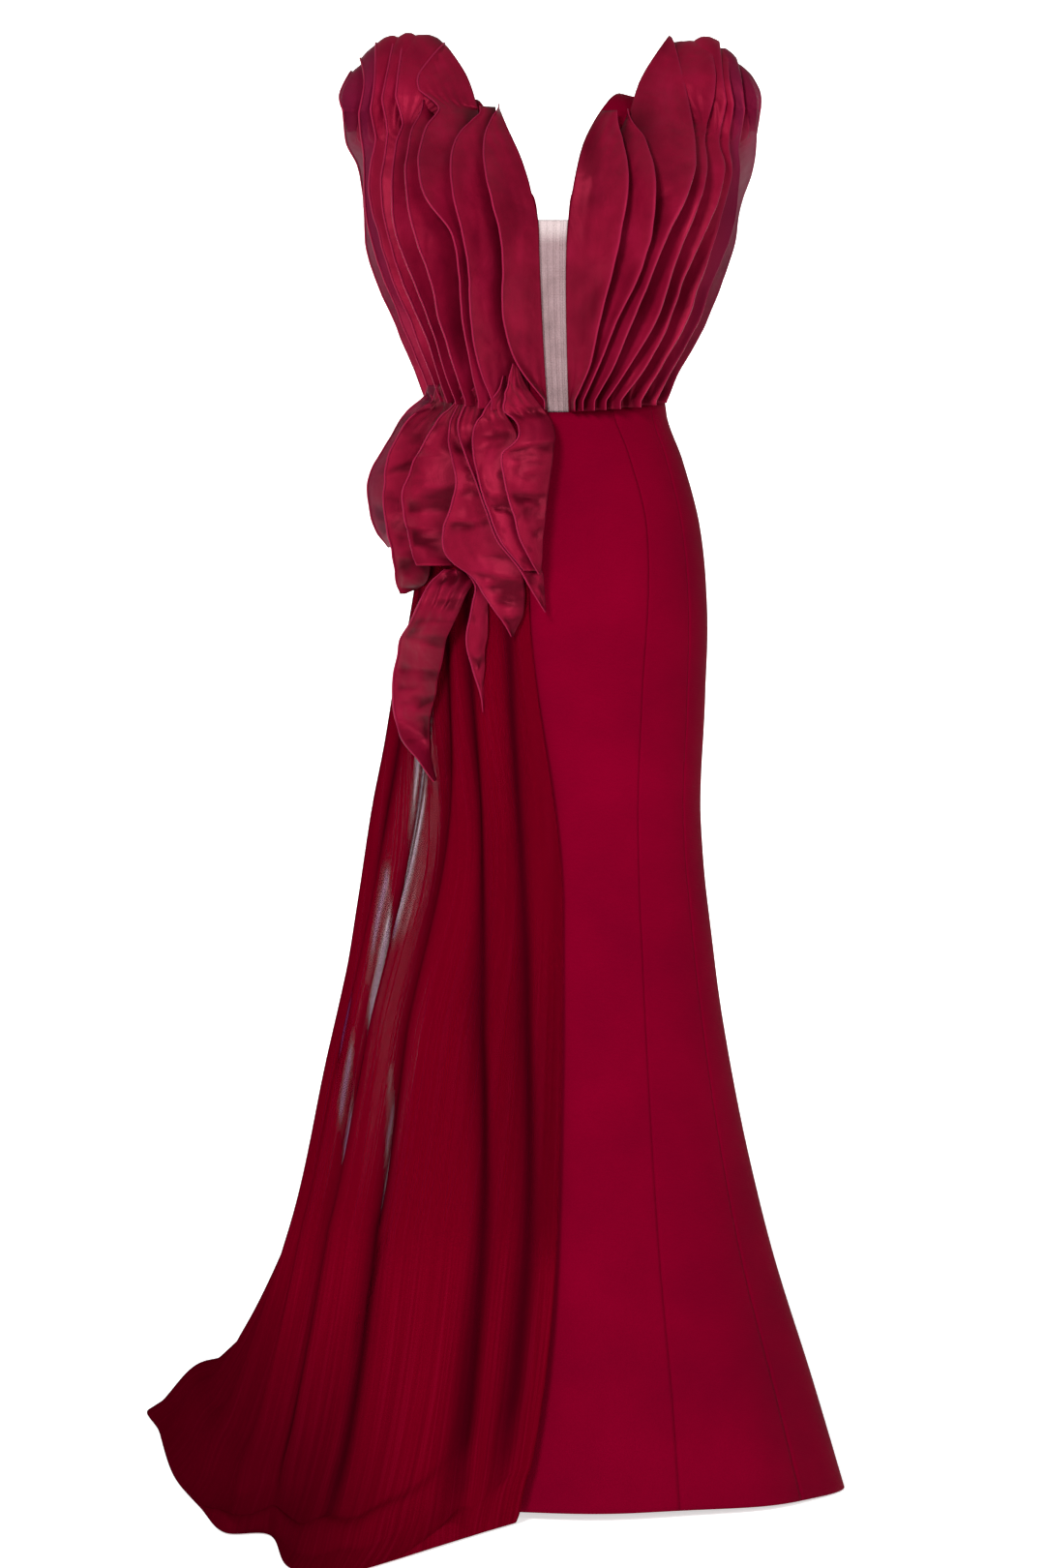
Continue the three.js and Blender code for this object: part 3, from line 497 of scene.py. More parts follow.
@dataclass(frozen=True)
class ClothFinish:
    """Colours and gloss of one woven cloth."""

    name: str
    deep: str
    mid: str
    light: str
    # Colour of the rim share: a painted highlight on the organza's rolled hems, painted shade in the
    # tulle's fold troughs (where the net is also denser) with its darker train on the floor, and a
    # lighter top on the mesh insert.
    rim: str
    roughness: float
    sheen: float
    sheen_tint: str
    specular: float
    gloss: str
    thread_mm: float
    weave_depth: float
    mottle_mm: float
    see_through: float = 0.0
    pass_light: float = 0.0
    crumple_mm: float = 0.0
    crumple_depth_mm: float = 0.0
    streak_mm: float = 0.0
    open_tint: str = ""
    open_from: float = 0.72
    open_full: float = 1.0
    # Colour of the painted shade in a sheet's hollows.
    shade: str = "3A000C"
    tone_stops: tuple[float, float, float] = (0.3, 0.5, 0.72)
    # Blender's wave texture has one band a unit at this scale.
    wave_scale: float = 0.159
    thread_rise: float = 0.3
    streak_stretch: float = 55.0
    streak_share: float = 0.7
    streak_span: tuple[float, float] = (0.35, 1.35)

    def make(self) -> bpy.types.Material:
        """Build the cloth's node material."""
        mat = bpy.data.materials.new(self.name)
        mat.use_nodes = True
        tree = mat.node_tree
        tree.nodes.clear()
        coords = add_node(tree, "ShaderNodeTexCoord")
        uv = add_node(tree, "ShaderNodeUVMap", {"uv_map": "weave"})
        rim, sheer, painted_shade = (
            add_node(tree, "ShaderNodeAttribute", {"attribute_name": name}).outputs["Fac"]
            for name in ("rim", "sheer", "painted_shade")
        )
        mottle = add_node(
            tree,
            "ShaderNodeTexNoise",
            {"in:Scale": 1000.0 / self.mottle_mm, "in:Detail": 3.0, "in:Roughness": 0.55},
            {"Vector": coords.outputs["Object"]},
        )
        tone = mottle.outputs["Fac"]
        if self.streak_mm > 0.0:
            tone = self._streaks(tree, uv.outputs["UV"])
        ramp = add_node(tree, "ShaderNodeValToRGB", None, {"Fac": tone})
        stops = ramp.color_ramp.elements
        stops[0].position, _, stops[1].position = self.tone_stops
        stops[0].color, stops[1].color = hex_linear(self.deep), hex_linear(self.light)
        stops.new(self.tone_stops[1]).color = hex_linear(self.mid)
        scale = add_node(
            tree,
            "ShaderNodeMapping",
            {"in:Scale": (1000.0 / self.thread_mm, 1000.0 / self.thread_mm, 1.0)},
            {"Vector": uv.outputs["UV"]},
        )
        warp, weft = (
            add_node(
                tree,
                "ShaderNodeTexWave",
                {"bands_direction": way, "in:Scale": self.wave_scale, "in:Distortion": 0.6,
                 "in:Detail": 1.0},
                {"Vector": scale.outputs["Vector"]},
            ).outputs["Fac"]
            for way in ("X", "Y")
        )
        weave = add_node(
            tree, "ShaderNodeMath", {"operation": "ADD"}, {"0": warp, "1": weft}
        )
        shade = ramp.outputs["Color"]
        # Mix in the painted shade, then the rim colour, which is a painted highlight on organza and
        # painted shade on tulle.
        for code, share in ((self.shade, painted_shade), (self.rim, rim)):
            shade = add_node(
                tree,
                "ShaderNodeMix",
                {"data_type": "RGBA", "in:7": hex_linear(code)},
                {"0": share, "6": shade},
            ).outputs[2]
        bump = add_node(
            tree,
            "ShaderNodeBump",
            {"in:Strength": self.weave_depth, "in:Distance": self.thread_mm * MM * self.thread_rise},
            {"Height": weave.outputs["Value"]},
        )
        if self.crumple_mm > 0.0:
            self._crumple(tree, coords.outputs["Object"], bump)
        if self.open_tint:
            widest = add_node(
                tree,
                "ShaderNodeMapRange",
                {"in:From Min": self.open_from, "in:From Max": self.open_full},
                {"Value": sheer},
            )
            shade = add_node(
                tree,
                "ShaderNodeMix",
                {"data_type": "RGBA", "in:7": hex_linear(self.open_tint)},
                {"0": widest.outputs["Result"], "6": shade},
            ).outputs[2]
        body = add_node(
            tree,
            "ShaderNodeBsdfPrincipled",
            {
                "in:Roughness": self.roughness,
                "in:IOR": 1.5,
                "in:Specular IOR Level": self.specular,
                "in:Specular Tint": hex_linear(self.gloss),
                "in:Sheen Weight": self.sheen,
                "in:Sheen Roughness": 0.4,
                "in:Sheen Tint": hex_linear(self.sheen_tint),
            },
            {"Base Color": shade, "Normal": bump.outputs["Normal"]},
        )
        surface = body.outputs["BSDF"]
        if self.see_through > 0.0:
            opened, closed_at, open_at = sheer, 0.0, 1.0
            if self.streak_mm > 0.0:
                closed_at, open_at = self.streak_span
                opened = add_node(
                    tree,
                    "ShaderNodeMath",
                    {"operation": "MULTIPLY_ADD", "in:1": self.streak_share},
                    {"0": tone, "2": sheer},
                ).outputs["Value"]
            alpha = add_node(
                tree,
                "ShaderNodeMapRange",
                {"in:From Min": closed_at, "in:From Max": open_at, "in:To Min": 1.0,
                 "in:To Max": 1.0 - self.see_through},
                {"Value": opened},
            )
            tree.links.new(alpha.outputs["Result"], body.inputs["Alpha"])
        if self.pass_light > 0.0:
            glow = add_node(tree, "ShaderNodeBsdfTranslucent", None, {"Color": shade})
            surface = add_node(
                tree,
                "ShaderNodeMixShader",
                {"in:Fac": self.pass_light},
                {"1": surface, "2": glow.outputs["BSDF"]},
            ).outputs["Shader"]
        add_node(tree, "ShaderNodeOutputMaterial", None, {"Surface": surface})
        return mat

    def _streaks(
        self, tree: bpy.types.NodeTree, uv: bpy.types.NodeSocket
    ) -> bpy.types.NodeSocket:
        """Gathered threads that run down the cloth, as a tone between 0 and 1.

        Args:
            tree: The material's node tree.
            uv: The cloth's own coordinates, in metres.

        Returns:
            The socket that carries the tone.
        """
        across = 1000.0 / self.streak_mm
        along = across / self.streak_stretch
        drawn = add_node(
            tree, "ShaderNodeMapping", {"in:Scale": (across, along, 1.0)}, {"Vector": uv}
        )
        noise_node = add_node(
            tree,
            "ShaderNodeTexNoise",
            {"in:Scale": 1.0, "in:Detail": 4.0, "in:Roughness": 0.6, "in:Distortion": 0.3},
            {"Vector": drawn.outputs["Vector"]},
        )
        return noise_node.outputs["Fac"]

    def _crumple(
        self, tree: bpy.types.NodeTree, place: bpy.types.NodeSocket, weave: bpy.types.Node
    ) -> None:
        """Lay soft crumples under the weave's bump.

        Args:
            tree: The material's node tree.
            place: Object coordinates.
            weave: The bump node of the weave.
        """
        soft = add_node(
            tree,
            "ShaderNodeTexNoise",
            {"in:Scale": 1000.0 / self.crumple_mm, "in:Detail": 2.0, "in:Roughness": 0.5,
             "in:Distortion": 0.5},
            {"Vector": place},
        )
        under = add_node(
            tree,
            "ShaderNodeBump",
            {"in:Strength": 1.0, "in:Distance": self.crumple_depth_mm * MM},
            {"Height": soft.outputs["Fac"]},
        )
        tree.links.new(under.outputs["Normal"], weave.inputs["Normal"])


class Finishes:
    """The dress's materials, made once each."""

    # Matte polyester crepe, woven of twisted yarn: a fine pebbled face that barely shines.
    CREPE = ClothFinish("matte_crepe", "63001A", "69001B", "6F001D", "600018", 0.9, 0.0, "A00030",
                        0.05, "E02050", 0.9, 0.3, 120.0)
    # Satin organza, woven from filament: gloss along the folds, a painted highlight on its rolled hems
    # and painted shade in its hollows.
    ORGANZA = ClothFinish("satin_organza", "60041D", "6E0722", "7B0B2A", "821636", 0.42, 0.0,
                          "C84468", 0.65, "E04060", 0.7, 0.15, 45.0, 0.6, 0.06, 32.0, 1.8,
                          open_tint="561230", open_from=0.0, open_full=0.35)
    # Fine nylon tulle: an open net in gathered layers, duller than the crepe under it, with painted
    # shade in the troughs of its folds.
    TULLE = ClothFinish("fine_tulle", "5C0012", "660014", "72021C", "34000A", 0.9, 0.0, "B04878",
                        0.0, "E08098", 1.2, 0.3, 80.0, 0.88, 0.08, streak_mm=7.0, open_tint="8A4688",
                        open_from=0.55)
    # Nude power mesh, warp-knitted: fine upright ribs and no shine.
    MESH = ClothFinish("nude_power_mesh", "7E686A", "8B7375", "988083", "BCABAB", 0.8, 0.1, "FFFFFF",
                       0.2, "FFFFFF", 1.4, 0.8, 30.0)

    def __init__(self) -> None:
        """Make the four cloths."""
        self._made = {
            Material.CREPE: self.CREPE.make(),
            Material.ORGANZA: self.ORGANZA.make(),
            Material.TULLE: self.TULLE.make(),
            Material.NUDE_MESH: self.MESH.make(),
        }

    def get(self, material: Material) -> bpy.types.Material:
        """The made material of one cloth."""
        return self._made[material]


@dataclass
class Skirt:
    """Fit-and-flare crepe skirt of seven panels."""

    side_seam: float = 59.0
    back_seam: float = 118.0
    hem_wave: float = 3.5
    hem_wave_top: float = 520.0
    hem_waves: float = 9.0
    hem_turn: float = 40.0
    seam_turn: float = 0.25
    seam_reach: float = 2.2
    waist_tuck: float = 0.8
    waist_reach: float = 3.0
    pucker: float = 0.2
    pucker_reach: float = 9.0
    fold_depth: float = 2.4
    fold_waves: float = 5.0
    wall: float = 1.2
    rows: int = 150
    princess: Track = Track((0, 470, 690, 880, 1050, 1130, 1172), (24, 28, 30, 32, 37, 34, 30))

    def _point(self, start: Callable[[float], float], end: Callable[[float], float]) -> PointMaker:
        """Point maker of the panel between two seams.

        Args:
            start: Angle of the first seam by height.
            end: Angle of the other seam.

        Returns:
            The panel's point maker.
        """

        def point(u: float, v: float) -> Vector:
            """Point of the panel, turned in a little along its seams and top.

            Args:
                u: Share across the sheet.
                v: Share along the sheet.

            Returns:
                The point in millimetres above the floor.
            """
            guess = lerp(0.0, WAIST_FRONT, v)
            middle = lerp(start(guess), end(guess), u)
            low = HEM_FRONT_LIFT * max(0.0, cosine(middle)) ** 2 + FLOOR_CLEAR
            z = lerp(low, FIGURE.waist(middle) - 0.2, v)
            deg = lerp(start(z), end(z), u)
            flare = max(0.0, 1.0 - z / self.hem_wave_top)
            stand = self.hem_wave * flare * sine(deg * self.hem_waves + self.hem_turn)
            stand += 1.6 * flare * wander(deg * 0.05, z * 0.004, 3.0)
            stand += self._drape(deg, z)
            width = abs(end(z) - start(z)) * math.radians(1) * FIGURE.half(z)
            seam = min(u, 1.0 - u) * width
            stand -= self.seam_turn * max(0.0, 1.0 - seam / self.seam_reach) ** 2
            under = (FIGURE.waist(deg) - z) / self.waist_reach
            stand -= self.waist_tuck * max(0.0, 1.0 - under) ** 2
            pucker = math.exp(-seam / self.pucker_reach) * self.pucker
            stand += pucker * math.sin(z * 0.21 + deg)
            return FIGURE.point(deg, z, stand)

        return point

    def _drape(self, deg: float, z: float) -> float:
        """Soft upright folds that open towards the hem, and faint pulls at the hip.

        Args:
            deg: Angle from the front, wearer's left positive.
            z: Height above the floor.

        Returns:
            Distance outwards in millimetres.
        """
        low = smooth(z, 640.0, 60.0)
        strayed = 8.0 * wander(deg * 0.03, z * 0.003, 9.0)
        folds = self.fold_depth * low * sine(deg * self.fold_waves + 25.0 + strayed)
        hip = 0.7 * smooth(z, 800.0, 1000.0) * wander(deg * 0.02, z * 0.012, 5.0)
        knee = 0.8 * smooth(z, 860.0, 700.0) * smooth(z, 520.0, 650.0)
        knee *= wander(deg * 0.03, z * 0.018, 1.0)
        return folds + hip + knee

    def build(self, finishes: Finishes) -> None:
        """Build the seven panels.

        Args:
            finishes: The dress's materials.
        """
        side, back = self.side_seam, self.back_seam

        def fixed(deg: float) -> Callable[[float], float]:
            """Seam that keeps one angle."""
            return lambda z: deg

        panels = (
            ("front_centre", lambda z: -self.princess(z), self.princess, 48),
            ("front_side_l", self.princess, fixed(side), 26),
            ("front_side_r", fixed(-side), lambda z: -self.princess(z), 26),
            ("side_l", fixed(side), fixed(back), 34),
            ("side_r", fixed(-back), fixed(-side), 34),
            ("back_l", fixed(back), fixed(180.0), 34),
            ("back_r", fixed(-180.0), fixed(-back), 34),
        )
        for name, start, end, columns in panels:
            ClothSheet(
                name=f"crepe_skirt_{name}",
                material=Material.CREPE,
                point=self._point(start, end),
                columns=columns,
                rows=self.rows,
                wall=self.wall,
                replaces=(f"skirt_{name}",),
            ).build(finishes)


@dataclass
class BodiceBase:
    """Crepe fronts and backs under the frills, with the nude mesh insert."""

    # t, level, cap, neck right, neck left, armhole
    front_rows: tuple[tuple[float, ...], ...] = (
        (0, 1170, 0, 11, 11, 90),
        (1, 1225, 0, 13, 11, 90),
        (2, 1290, 0, 15, 11, 90),
        (3, 1335, 0, 16, 12, 90),
        (4, 1370, 0, 17, 14, 76),
        (5, 1400, 0, 24, 18, 66),
        (6, 1400, 30, 46, 28, 63),
        (7, 1400, 60, 62, 46, 70),
        (8, 1400, 86, 70, 60, 84),
    )
    back_rows: tuple[tuple[float, ...], ...] = (
        (0, 1170, 0, 0, 0, 90),
        (1, 1225, 0, 0, 0, 90),
        (2, 1290, 0, 0, 0, 90),
        (3, 1335, 0, 0, 0, 90),
        (4, 1370, 0, 6, 6, 80),
        (5, 1400, 0, 34, 30, 72),
        (6, 1400, 30, 56, 46, 70),
        (7, 1400, 60, 68, 58, 74),
        (8, 1400, 86, 72, 64, 84),
    )
    insert_top: float = 1372.0
    insert_stand: float = -1.6
    insert_lap: float = 1.5
    rib_depth: float = 0.35
    ribs: float = 9.0
    seam_gap: float = 0.2
    seam_turn: float = 0.8
    wall: float = 1.2

    @staticmethod
    def _tracks(rows: tuple[tuple[float, ...], ...]) -> list[Track]:
        """One track for each column of a panel's rows."""
        steps, *columns = zip(*rows)
        return [Track(steps, column) for column in columns]

    @classmethod
    def neck_track(cls, sign: int) -> Track:
        """Angle of the front neck edge by height, on one side.

        Args:
            sign: -1 on the wearer's right, 1 on the left.

        Returns:
            The angle as a track of height.
        """
        base = cls()
        level, cap_of, neck_r, neck_l, _ = cls._tracks(base.front_rows)
        neck = neck_r if sign < 0 else neck_l
        heights, angles = [], []
        for k in range(33):
            t = k / 4.0
            half = FIGURE.half(level(t))
            deg = math.degrees(math.asin(min(1.0, neck(t) / half)))
            x = FIGURE.sway(level(t)) + sign * FIGURE.half(CAP_SPREAD_Z) * sine(deg)
            z = level(t) + (FIGURE.ridge(x) - CAP_START) * sine(cap_of(t))
            if not heights or z > heights[-1] + 0.5:
                heights.append(z)
                angles.append(deg)
        return Track(heights, angles)

    def _point(self, rows: tuple[tuple[float, ...], ...], back: bool, sign: int) -> PointMaker:
        """Point maker of one base panel.

        Args:
            rows: The panel's table.
            back: Whether it is a back panel.
            sign: -1 on the wearer's right, 1 on the left.

        Returns:
            The panel's point maker.
        """
        level, cap_of, neck_r, neck_l, arm_of = self._tracks(rows)
        neck = neck_r if sign < 0 else neck_l

        def point(u: float, v: float) -> Vector:
            """Point of the panel at a share across and up.

            Args:
                u: Share across the sheet.
                v: Share along the sheet.

            Returns:
                The point in millimetres above the floor.
            """
            t = v * (len(rows) - 1)
            cap, height = cap_of(t), level(t)
            edge = math.degrees(math.asin(min(1.0, max(0.0, neck(t)) / FIGURE.half(height))))
            deg = lerp(edge, arm_of(t), u)
            turned = 180.0 - deg if back else deg
            waist = FIGURE.waist(deg)
            z = waist + self.seam_gap if v == 0 else max(height, waist + 2 * t)
            stand = -self.seam_turn * max(0.0, 1.0 - u * 40.0) if back and t < 5 else 0.0
            if cap <= 0:
                return FIGURE.point(sign * turned, z, stand)
            at = FIGURE.sway(z) + sign * FIGURE.half(CAP_SPREAD_Z) * sine(deg)
            top = CAP_START + (FIGURE.ridge(at) - CAP_START) * sine(cap)
            return FIGURE.point(sign * turned, top, stand)

        return point

    def _insert(self, u: float, v: float) -> Vector:
        """Point of the mesh insert, ribbed upright.

        Args:
            u: Share across the sheet.
            v: Share along the sheet.

        Returns:
            The point in millimetres above the floor.
        """
        z = lerp(WAIST_FRONT + 0.3, self.insert_top, v)
        steps, levels, *_ = zip(*self.front_rows[:5])
        _, _, neck_r, neck_l, _ = self._tracks(self.front_rows)
        t = Track(levels, steps)(z)
        x = lerp(-neck_r(t) - self.insert_lap, neck_l(t) + self.insert_lap, u)
        deg = math.degrees(math.asin(x / FIGURE.half(z)))
        rib = self.rib_depth * math.sin(u * math.tau * self.ribs)
        return FIGURE.point(deg, z, self.insert_stand + rib)

    def build(self, finishes: Finishes) -> None:
        """Build the four base panels and the insert.

        Args:
            finishes: The dress's materials.
        """
        for sign, hand in ((-1, "r"), (1, "l")):
            for rows, word in ((self.front_rows, "front"), (self.back_rows, "back")):
                ClothSheet(
                    name=f"crepe_bodice_{word}_{hand}",
                    material=Material.CREPE,
                    point=self._point(rows, word == "back", sign),
                    columns=40,
                    rows=64,
                    wall=self.wall,
                    hold=Hold.STRETCHED,
                    replaces=(f"bodice_{word}_{hand}",),
                ).build(finishes)
        ClothSheet(
            name="nude_mesh_panel",
            material=Material.NUDE_MESH,
            point=self._insert,
            columns=72,
            rows=60,
            wall=0.7,
            hold=Hold.STRETCHED,
            replaces=("nude_mesh_insert",),
            rim=lambda u, v: smooth(v, 0.86, 0.97),
        ).build(finishes)


@dataclass(frozen=True)
class Frill:
    """One bodice frill: its top, edge depths, root angles and the tack of its edge."""

    top: float
    depths: tuple[float, float, float]
    roots: tuple[float, float, float, float]
    tack_x: float
    pinch: float = 0.0
    petal: str = ""
    gathered: float = 1.0
    reach: float = 34.0


@dataclass(frozen=True)
class Petal:
    """The length of a frill over the shoulder: edge at tack, middle and crown, and root."""

    tack: tuple[float, float]
    middle: tuple[float, float]
    crown: tuple[float, float]
    root_x: float
    neck_root: tuple[tuple[float, float, float], ...] = ()
    hook: float = 1.0
    rise: float = 1.3
    gathered: float = 1.0
    crest: float = 6.0


@dataclass
class PetalShape:
    """Surface of one shoulder petal, from the front tack over the crown to the back."""

    petal: Petal
    seed: float
    tack_y: float = -50.0
    middle_y: float = -37.0
    back_y: float = 52.0
    drop: float = 7.0
    seat: float = 1.9
    pinch: float = 0.45
    tack_reach: float = 0.9
    back_drop: float = 10.0
    crease_mm: float = 11.0

    def __post_init__(self) -> None:
        """Make the tracks of the root and the free edge."""
        p, steps = self.petal, (0, 1, 2, 3, 4)
        edge = (
            (p.tack[0], self.tack_y, p.tack[1]),
            (p.middle[0], self.middle_y, p.middle[1]),
            (p.crown[0], 0.0, p.crown[1]),
            (p.middle[0], -self.middle_y, p.middle[1]),
            (p.tack[0], self.back_y, p.tack[1] - self.back_drop),
        )
        if p.neck_root:
            low, middle, crown = p.neck_root
            front, behind = (FIGURE.over_ridge(low[0], low[2], f, self.seat) for f in (-1, 1))
            root = (front, middle, crown, (middle[0], -middle[1], middle[2]), behind)
        else:
            ridge = FIGURE.ridge(p.root_x)
            rows = ((ridge - self.drop, -1), (ridge - 2.0, -1), (ridge - 2.0, 1), (ridge - self.drop, 1))
            root = [FIGURE.over_ridge(p.root_x, z, face, self.seat) for z, face in rows]
            root.insert(2, (p.root_x, 0.0, ridge + self.seat))
        self._edge = [Track(steps, [q[k] for q in edge]) for k in range(3)]
        self._root = [Track(steps, [q[k] for q in root]) for k in range(3)]

    def point(self, u: float, v: float) -> Vector:
        """Point from root to free edge, and from front tack (0) to back tack (1).

        Args:
            u: Share from root to free edge.
            v: Share from front to back tack.

        Returns:
            The point in millimetres above the floor.
        """
        t = 4.0 * v
        a = Vector([track(t) for track in self._root])
        b = Vector([track(t) for track in self._edge])
        ends = max(0.0, 1.0 - min(t, 4.0 - t) / self.tack_reach) ** 2
        if t > 2.0:
            ends *= self.petal.gathered
        a = a.lerp(b, (0.0 if self.petal.neck_root else self.pinch) * ends)
        hook = self.petal.hook * (1.0 - ends)
        bend = Vector((
            lerp(a.x, b.x, lerp(0.5, 0.12, hook)),
            lerp(a.y, b.y, 0.4),
            lerp(a.z, b.z, lerp(0.5, self.petal.rise, hook)) + self.petal.crest * hook,
        ))
        bend.x += 1.2 * wander(self.seed, t * 0.9, 1.0)
        p = a * (1 - u) ** 2 + bend * (2 * u * (1 - u)) + b * (u * u)
        span = (b - a).length
        belly = math.sin(math.pi * clamp(u)) ** 0.6
        crease = math.sin(u * span / self.crease_mm * math.tau + self.seed)
        lift = (0.25 + 1.4 * ends) * crease * belly
        lift += 1.6 * wander(u * 1.6, t * 0.8, self.seed) * min(1.0, span / 30.0)
        outward = Vector((math.copysign(0.5, b.x), p.y / 60.0, 0.6)).normalized()
        return p + outward * lift


@dataclass
class BodiceFrills:
    """Organza frills from the waist to the shoulder tacks, most of them on over the shoulder."""

    heights: tuple[float, ...] = (1490, 1462, 1430, 1395, 1355, 1310, 1265, 1220, 1182)
    right_edges: tuple[tuple[float, ...], ...] = (
        (-69, -79, -80, -74, -64, -62, -61, -46, -17),
        (-83, -109, -117, -114, -103, -96, -93, -87, -74),
        (-134, -145, -150, -141, -114, -106, -103, -94, -87),
        (-150, -157, -163, -162, -152, -137, -128, -114, -100),
        (-168, -174, -179, -178, -171, -156, -139, -124, -111),
        (-176, -183, -189, -191, -182, -168, -149, -133, -120),
        (-190, -197, -203, -203, -193, -178, -159, -142, -128),
        (-201, -206, -209, -208, -201, -188, -168, -149, -135),
        (-233, -227, -217, -212, -208, -196, -176, -156, -143),
    )
    left_edges: tuple[tuple[float, ...], ...] = (
        (60, 64, 68, 68, 62, 51, 41, 31, 15),
        (78, 88, 96, 98, 94, 81, 60, 41, 24),
        (138, 142, 142, 132, 113, 95, 74, 56, 36),
        (159, 154, 155, 146, 130, 115, 99, 74, 48),
        (170, 169, 174, 165, 149, 129, 114, 91, 64),
        (179, 179, 183, 177, 165, 149, 132, 109, 86),
        (190, 192, 194, 189, 181, 164, 147, 123, 103),
        (210, 210, 208, 197, 190, 175, 157, 133, 115),
    )
    right: tuple[Frill, ...] = (
        Frill(1497, (-80, -150, -104), (18.6, 9, 9, 6), -65, reach=14.0),
        Frill(1495, (-74, -150, -105), (19.5, 17, 18, 14), -86, reach=13.0),
        Frill(1505, (-56, -146, -102), (26, 24, 27, 27), -126, 0.0, "r1"),
        Frill(1504, (-50, -128, -96), (40, 31, 36, 38), -146, 0.7),
        Frill(1490, (-46, -100, -84), (47, 38, 45, 47), -167, 0.6, "r2"),
        Frill(1483, (-42, -68, -70), (53, 44, 54, 55), -184, 0.6, "r3"),
        Frill(1476, (-36, -34, -52), (58, 49, 62, 63), -198, 0.6, "r4"),
        Frill(1474, (-28, 0, -32), (62, 54, 70, 71), -212, 0.5, "r5"),
        Frill(1474, (-20, 36, -10), (72, 62, 78, 79), -232, 0.4, "r6"),
    )
    left: tuple[Frill, ...] = (
        Frill(1490, (-84, -150, -104), (20, 9, 9, 6), 60),
        Frill(1492, (-78, -150, -105), (25, 16, 17, 9), 72),
        Frill(1496, (-52, -142, -104), (26, 23, 26, 12), 138, 0.0, "l1", 0.0),
        Frill(1490, (-46, -120, -101), (40, 31, 35, 17), 158, 0.5, "l2"),
        Frill(1484, (-42, -94, -96), (47, 38, 45, 24), 172, 0.6, "l3"),
        Frill(1480, (-38, -64, -84), (54, 45, 54, 34), 182, 0.6, "l4"),
        Frill(1476, (-30, -26, -66), (60, 52, 64, 46), 195, 0.5, "l5"),
        Frill(1478, (-20, 28, -44), (66, 59, 76, 58), 210, 0.4, "l6"),
    )
    petals: dict[str, Petal] = field(
        default_factory=lambda: {
            "r1": Petal((-149, 1508), (-151, 1532), (-124, 1568), -84,
                        ((-84, -60, 1484), (-99, -34, 1530), (-121, 0, 1565)), 0.1),
            "r2": Petal((-176, 1500), (-173, 1533), (-168, 1573), -122,
                        ((-98, -44, 1488), (-104, -24, 1536), (-126, 4, 1570)), 0.5, crest=24.0),
            "r3": Petal((-192, 1496), (-185, 1532), (-178, 1572), -138, crest=12.0),
            "r4": Petal((-205, 1484), (-198, 1528), (-197, 1568), -152, crest=12.0),
            "r5": Petal((-217, 1480), (-209, 1524), (-214, 1552), -164, rise=1.7, crest=12.0),
            "r6": Petal((-231, 1488), (-236, 1510), (-224, 1538), -176, rise=1.7),
            "l1": Petal((138, 1497), (131, 1532), (121, 1575), 76,
                        ((70, -60, 1488), (90, -36, 1534), (118, 0, 1577)), 0.1, gathered=0.0),
            "l2": Petal((164, 1500), (166, 1534), (160, 1569), 112,
                        ((84, -50, 1492), (98, -30, 1534), (122, 2, 1570)), 0.5, crest=10.0),
            "l3": Petal((178, 1494), (174, 1530), (172, 1571), 126, crest=3.0),
            "l4": Petal((186, 1492), (181, 1528), (182, 1560), 140, crest=3.0),
            "l5": Petal((198, 1486), (194, 1524), (190, 1553), 154, rise=1.5),
            "l6": Petal((213, 1488), (214, 1514), (203, 1538), 166, rise=1.6),
        }
    )
    foot: float = 1187.0
    bust: float = 1385.0
    rib: float = 1305.0
    root_stand: float = 1.8
    cap_stand: float = 7.0
    curl: float = 8.0
    crease_mm: float = 13.0
    belly: float = 4.6
    tip_root: Track = Track((1370, 1400, 1430, 1460, 1497), (9.0, 9.3, 11.8, 14.9, 18.6))
    over_share: float = 0.4

    def _frill(self, sign: int, k: int, frill: Frill, edge_x: tuple[float, ...]) -> PointMaker:
        """Point maker of one frill from its tack down to the waist.

        Args:
            sign: -1 on the wearer's right, 1 on the left.
            k: The frill's place from the neckline, from 1.
            frill: Its sizes.
            edge_x: Sideways place of its free edge by row.

        Returns:
            The frill's point maker.
        """
        edge_at = Track(self.heights, edge_x)
        depth = Track((self.foot, self.bust, frill.top), tuple(reversed(frill.depths)))
        root_deg = Track((self.foot, self.rib, self.bust, 1490), tuple(reversed(frill.roots)))
        neck = BodiceBase.neck_track(sign)
        seed = 3.1 * k + sign
        low = FIGURE.waist(frill.roots[3]) + 0.8

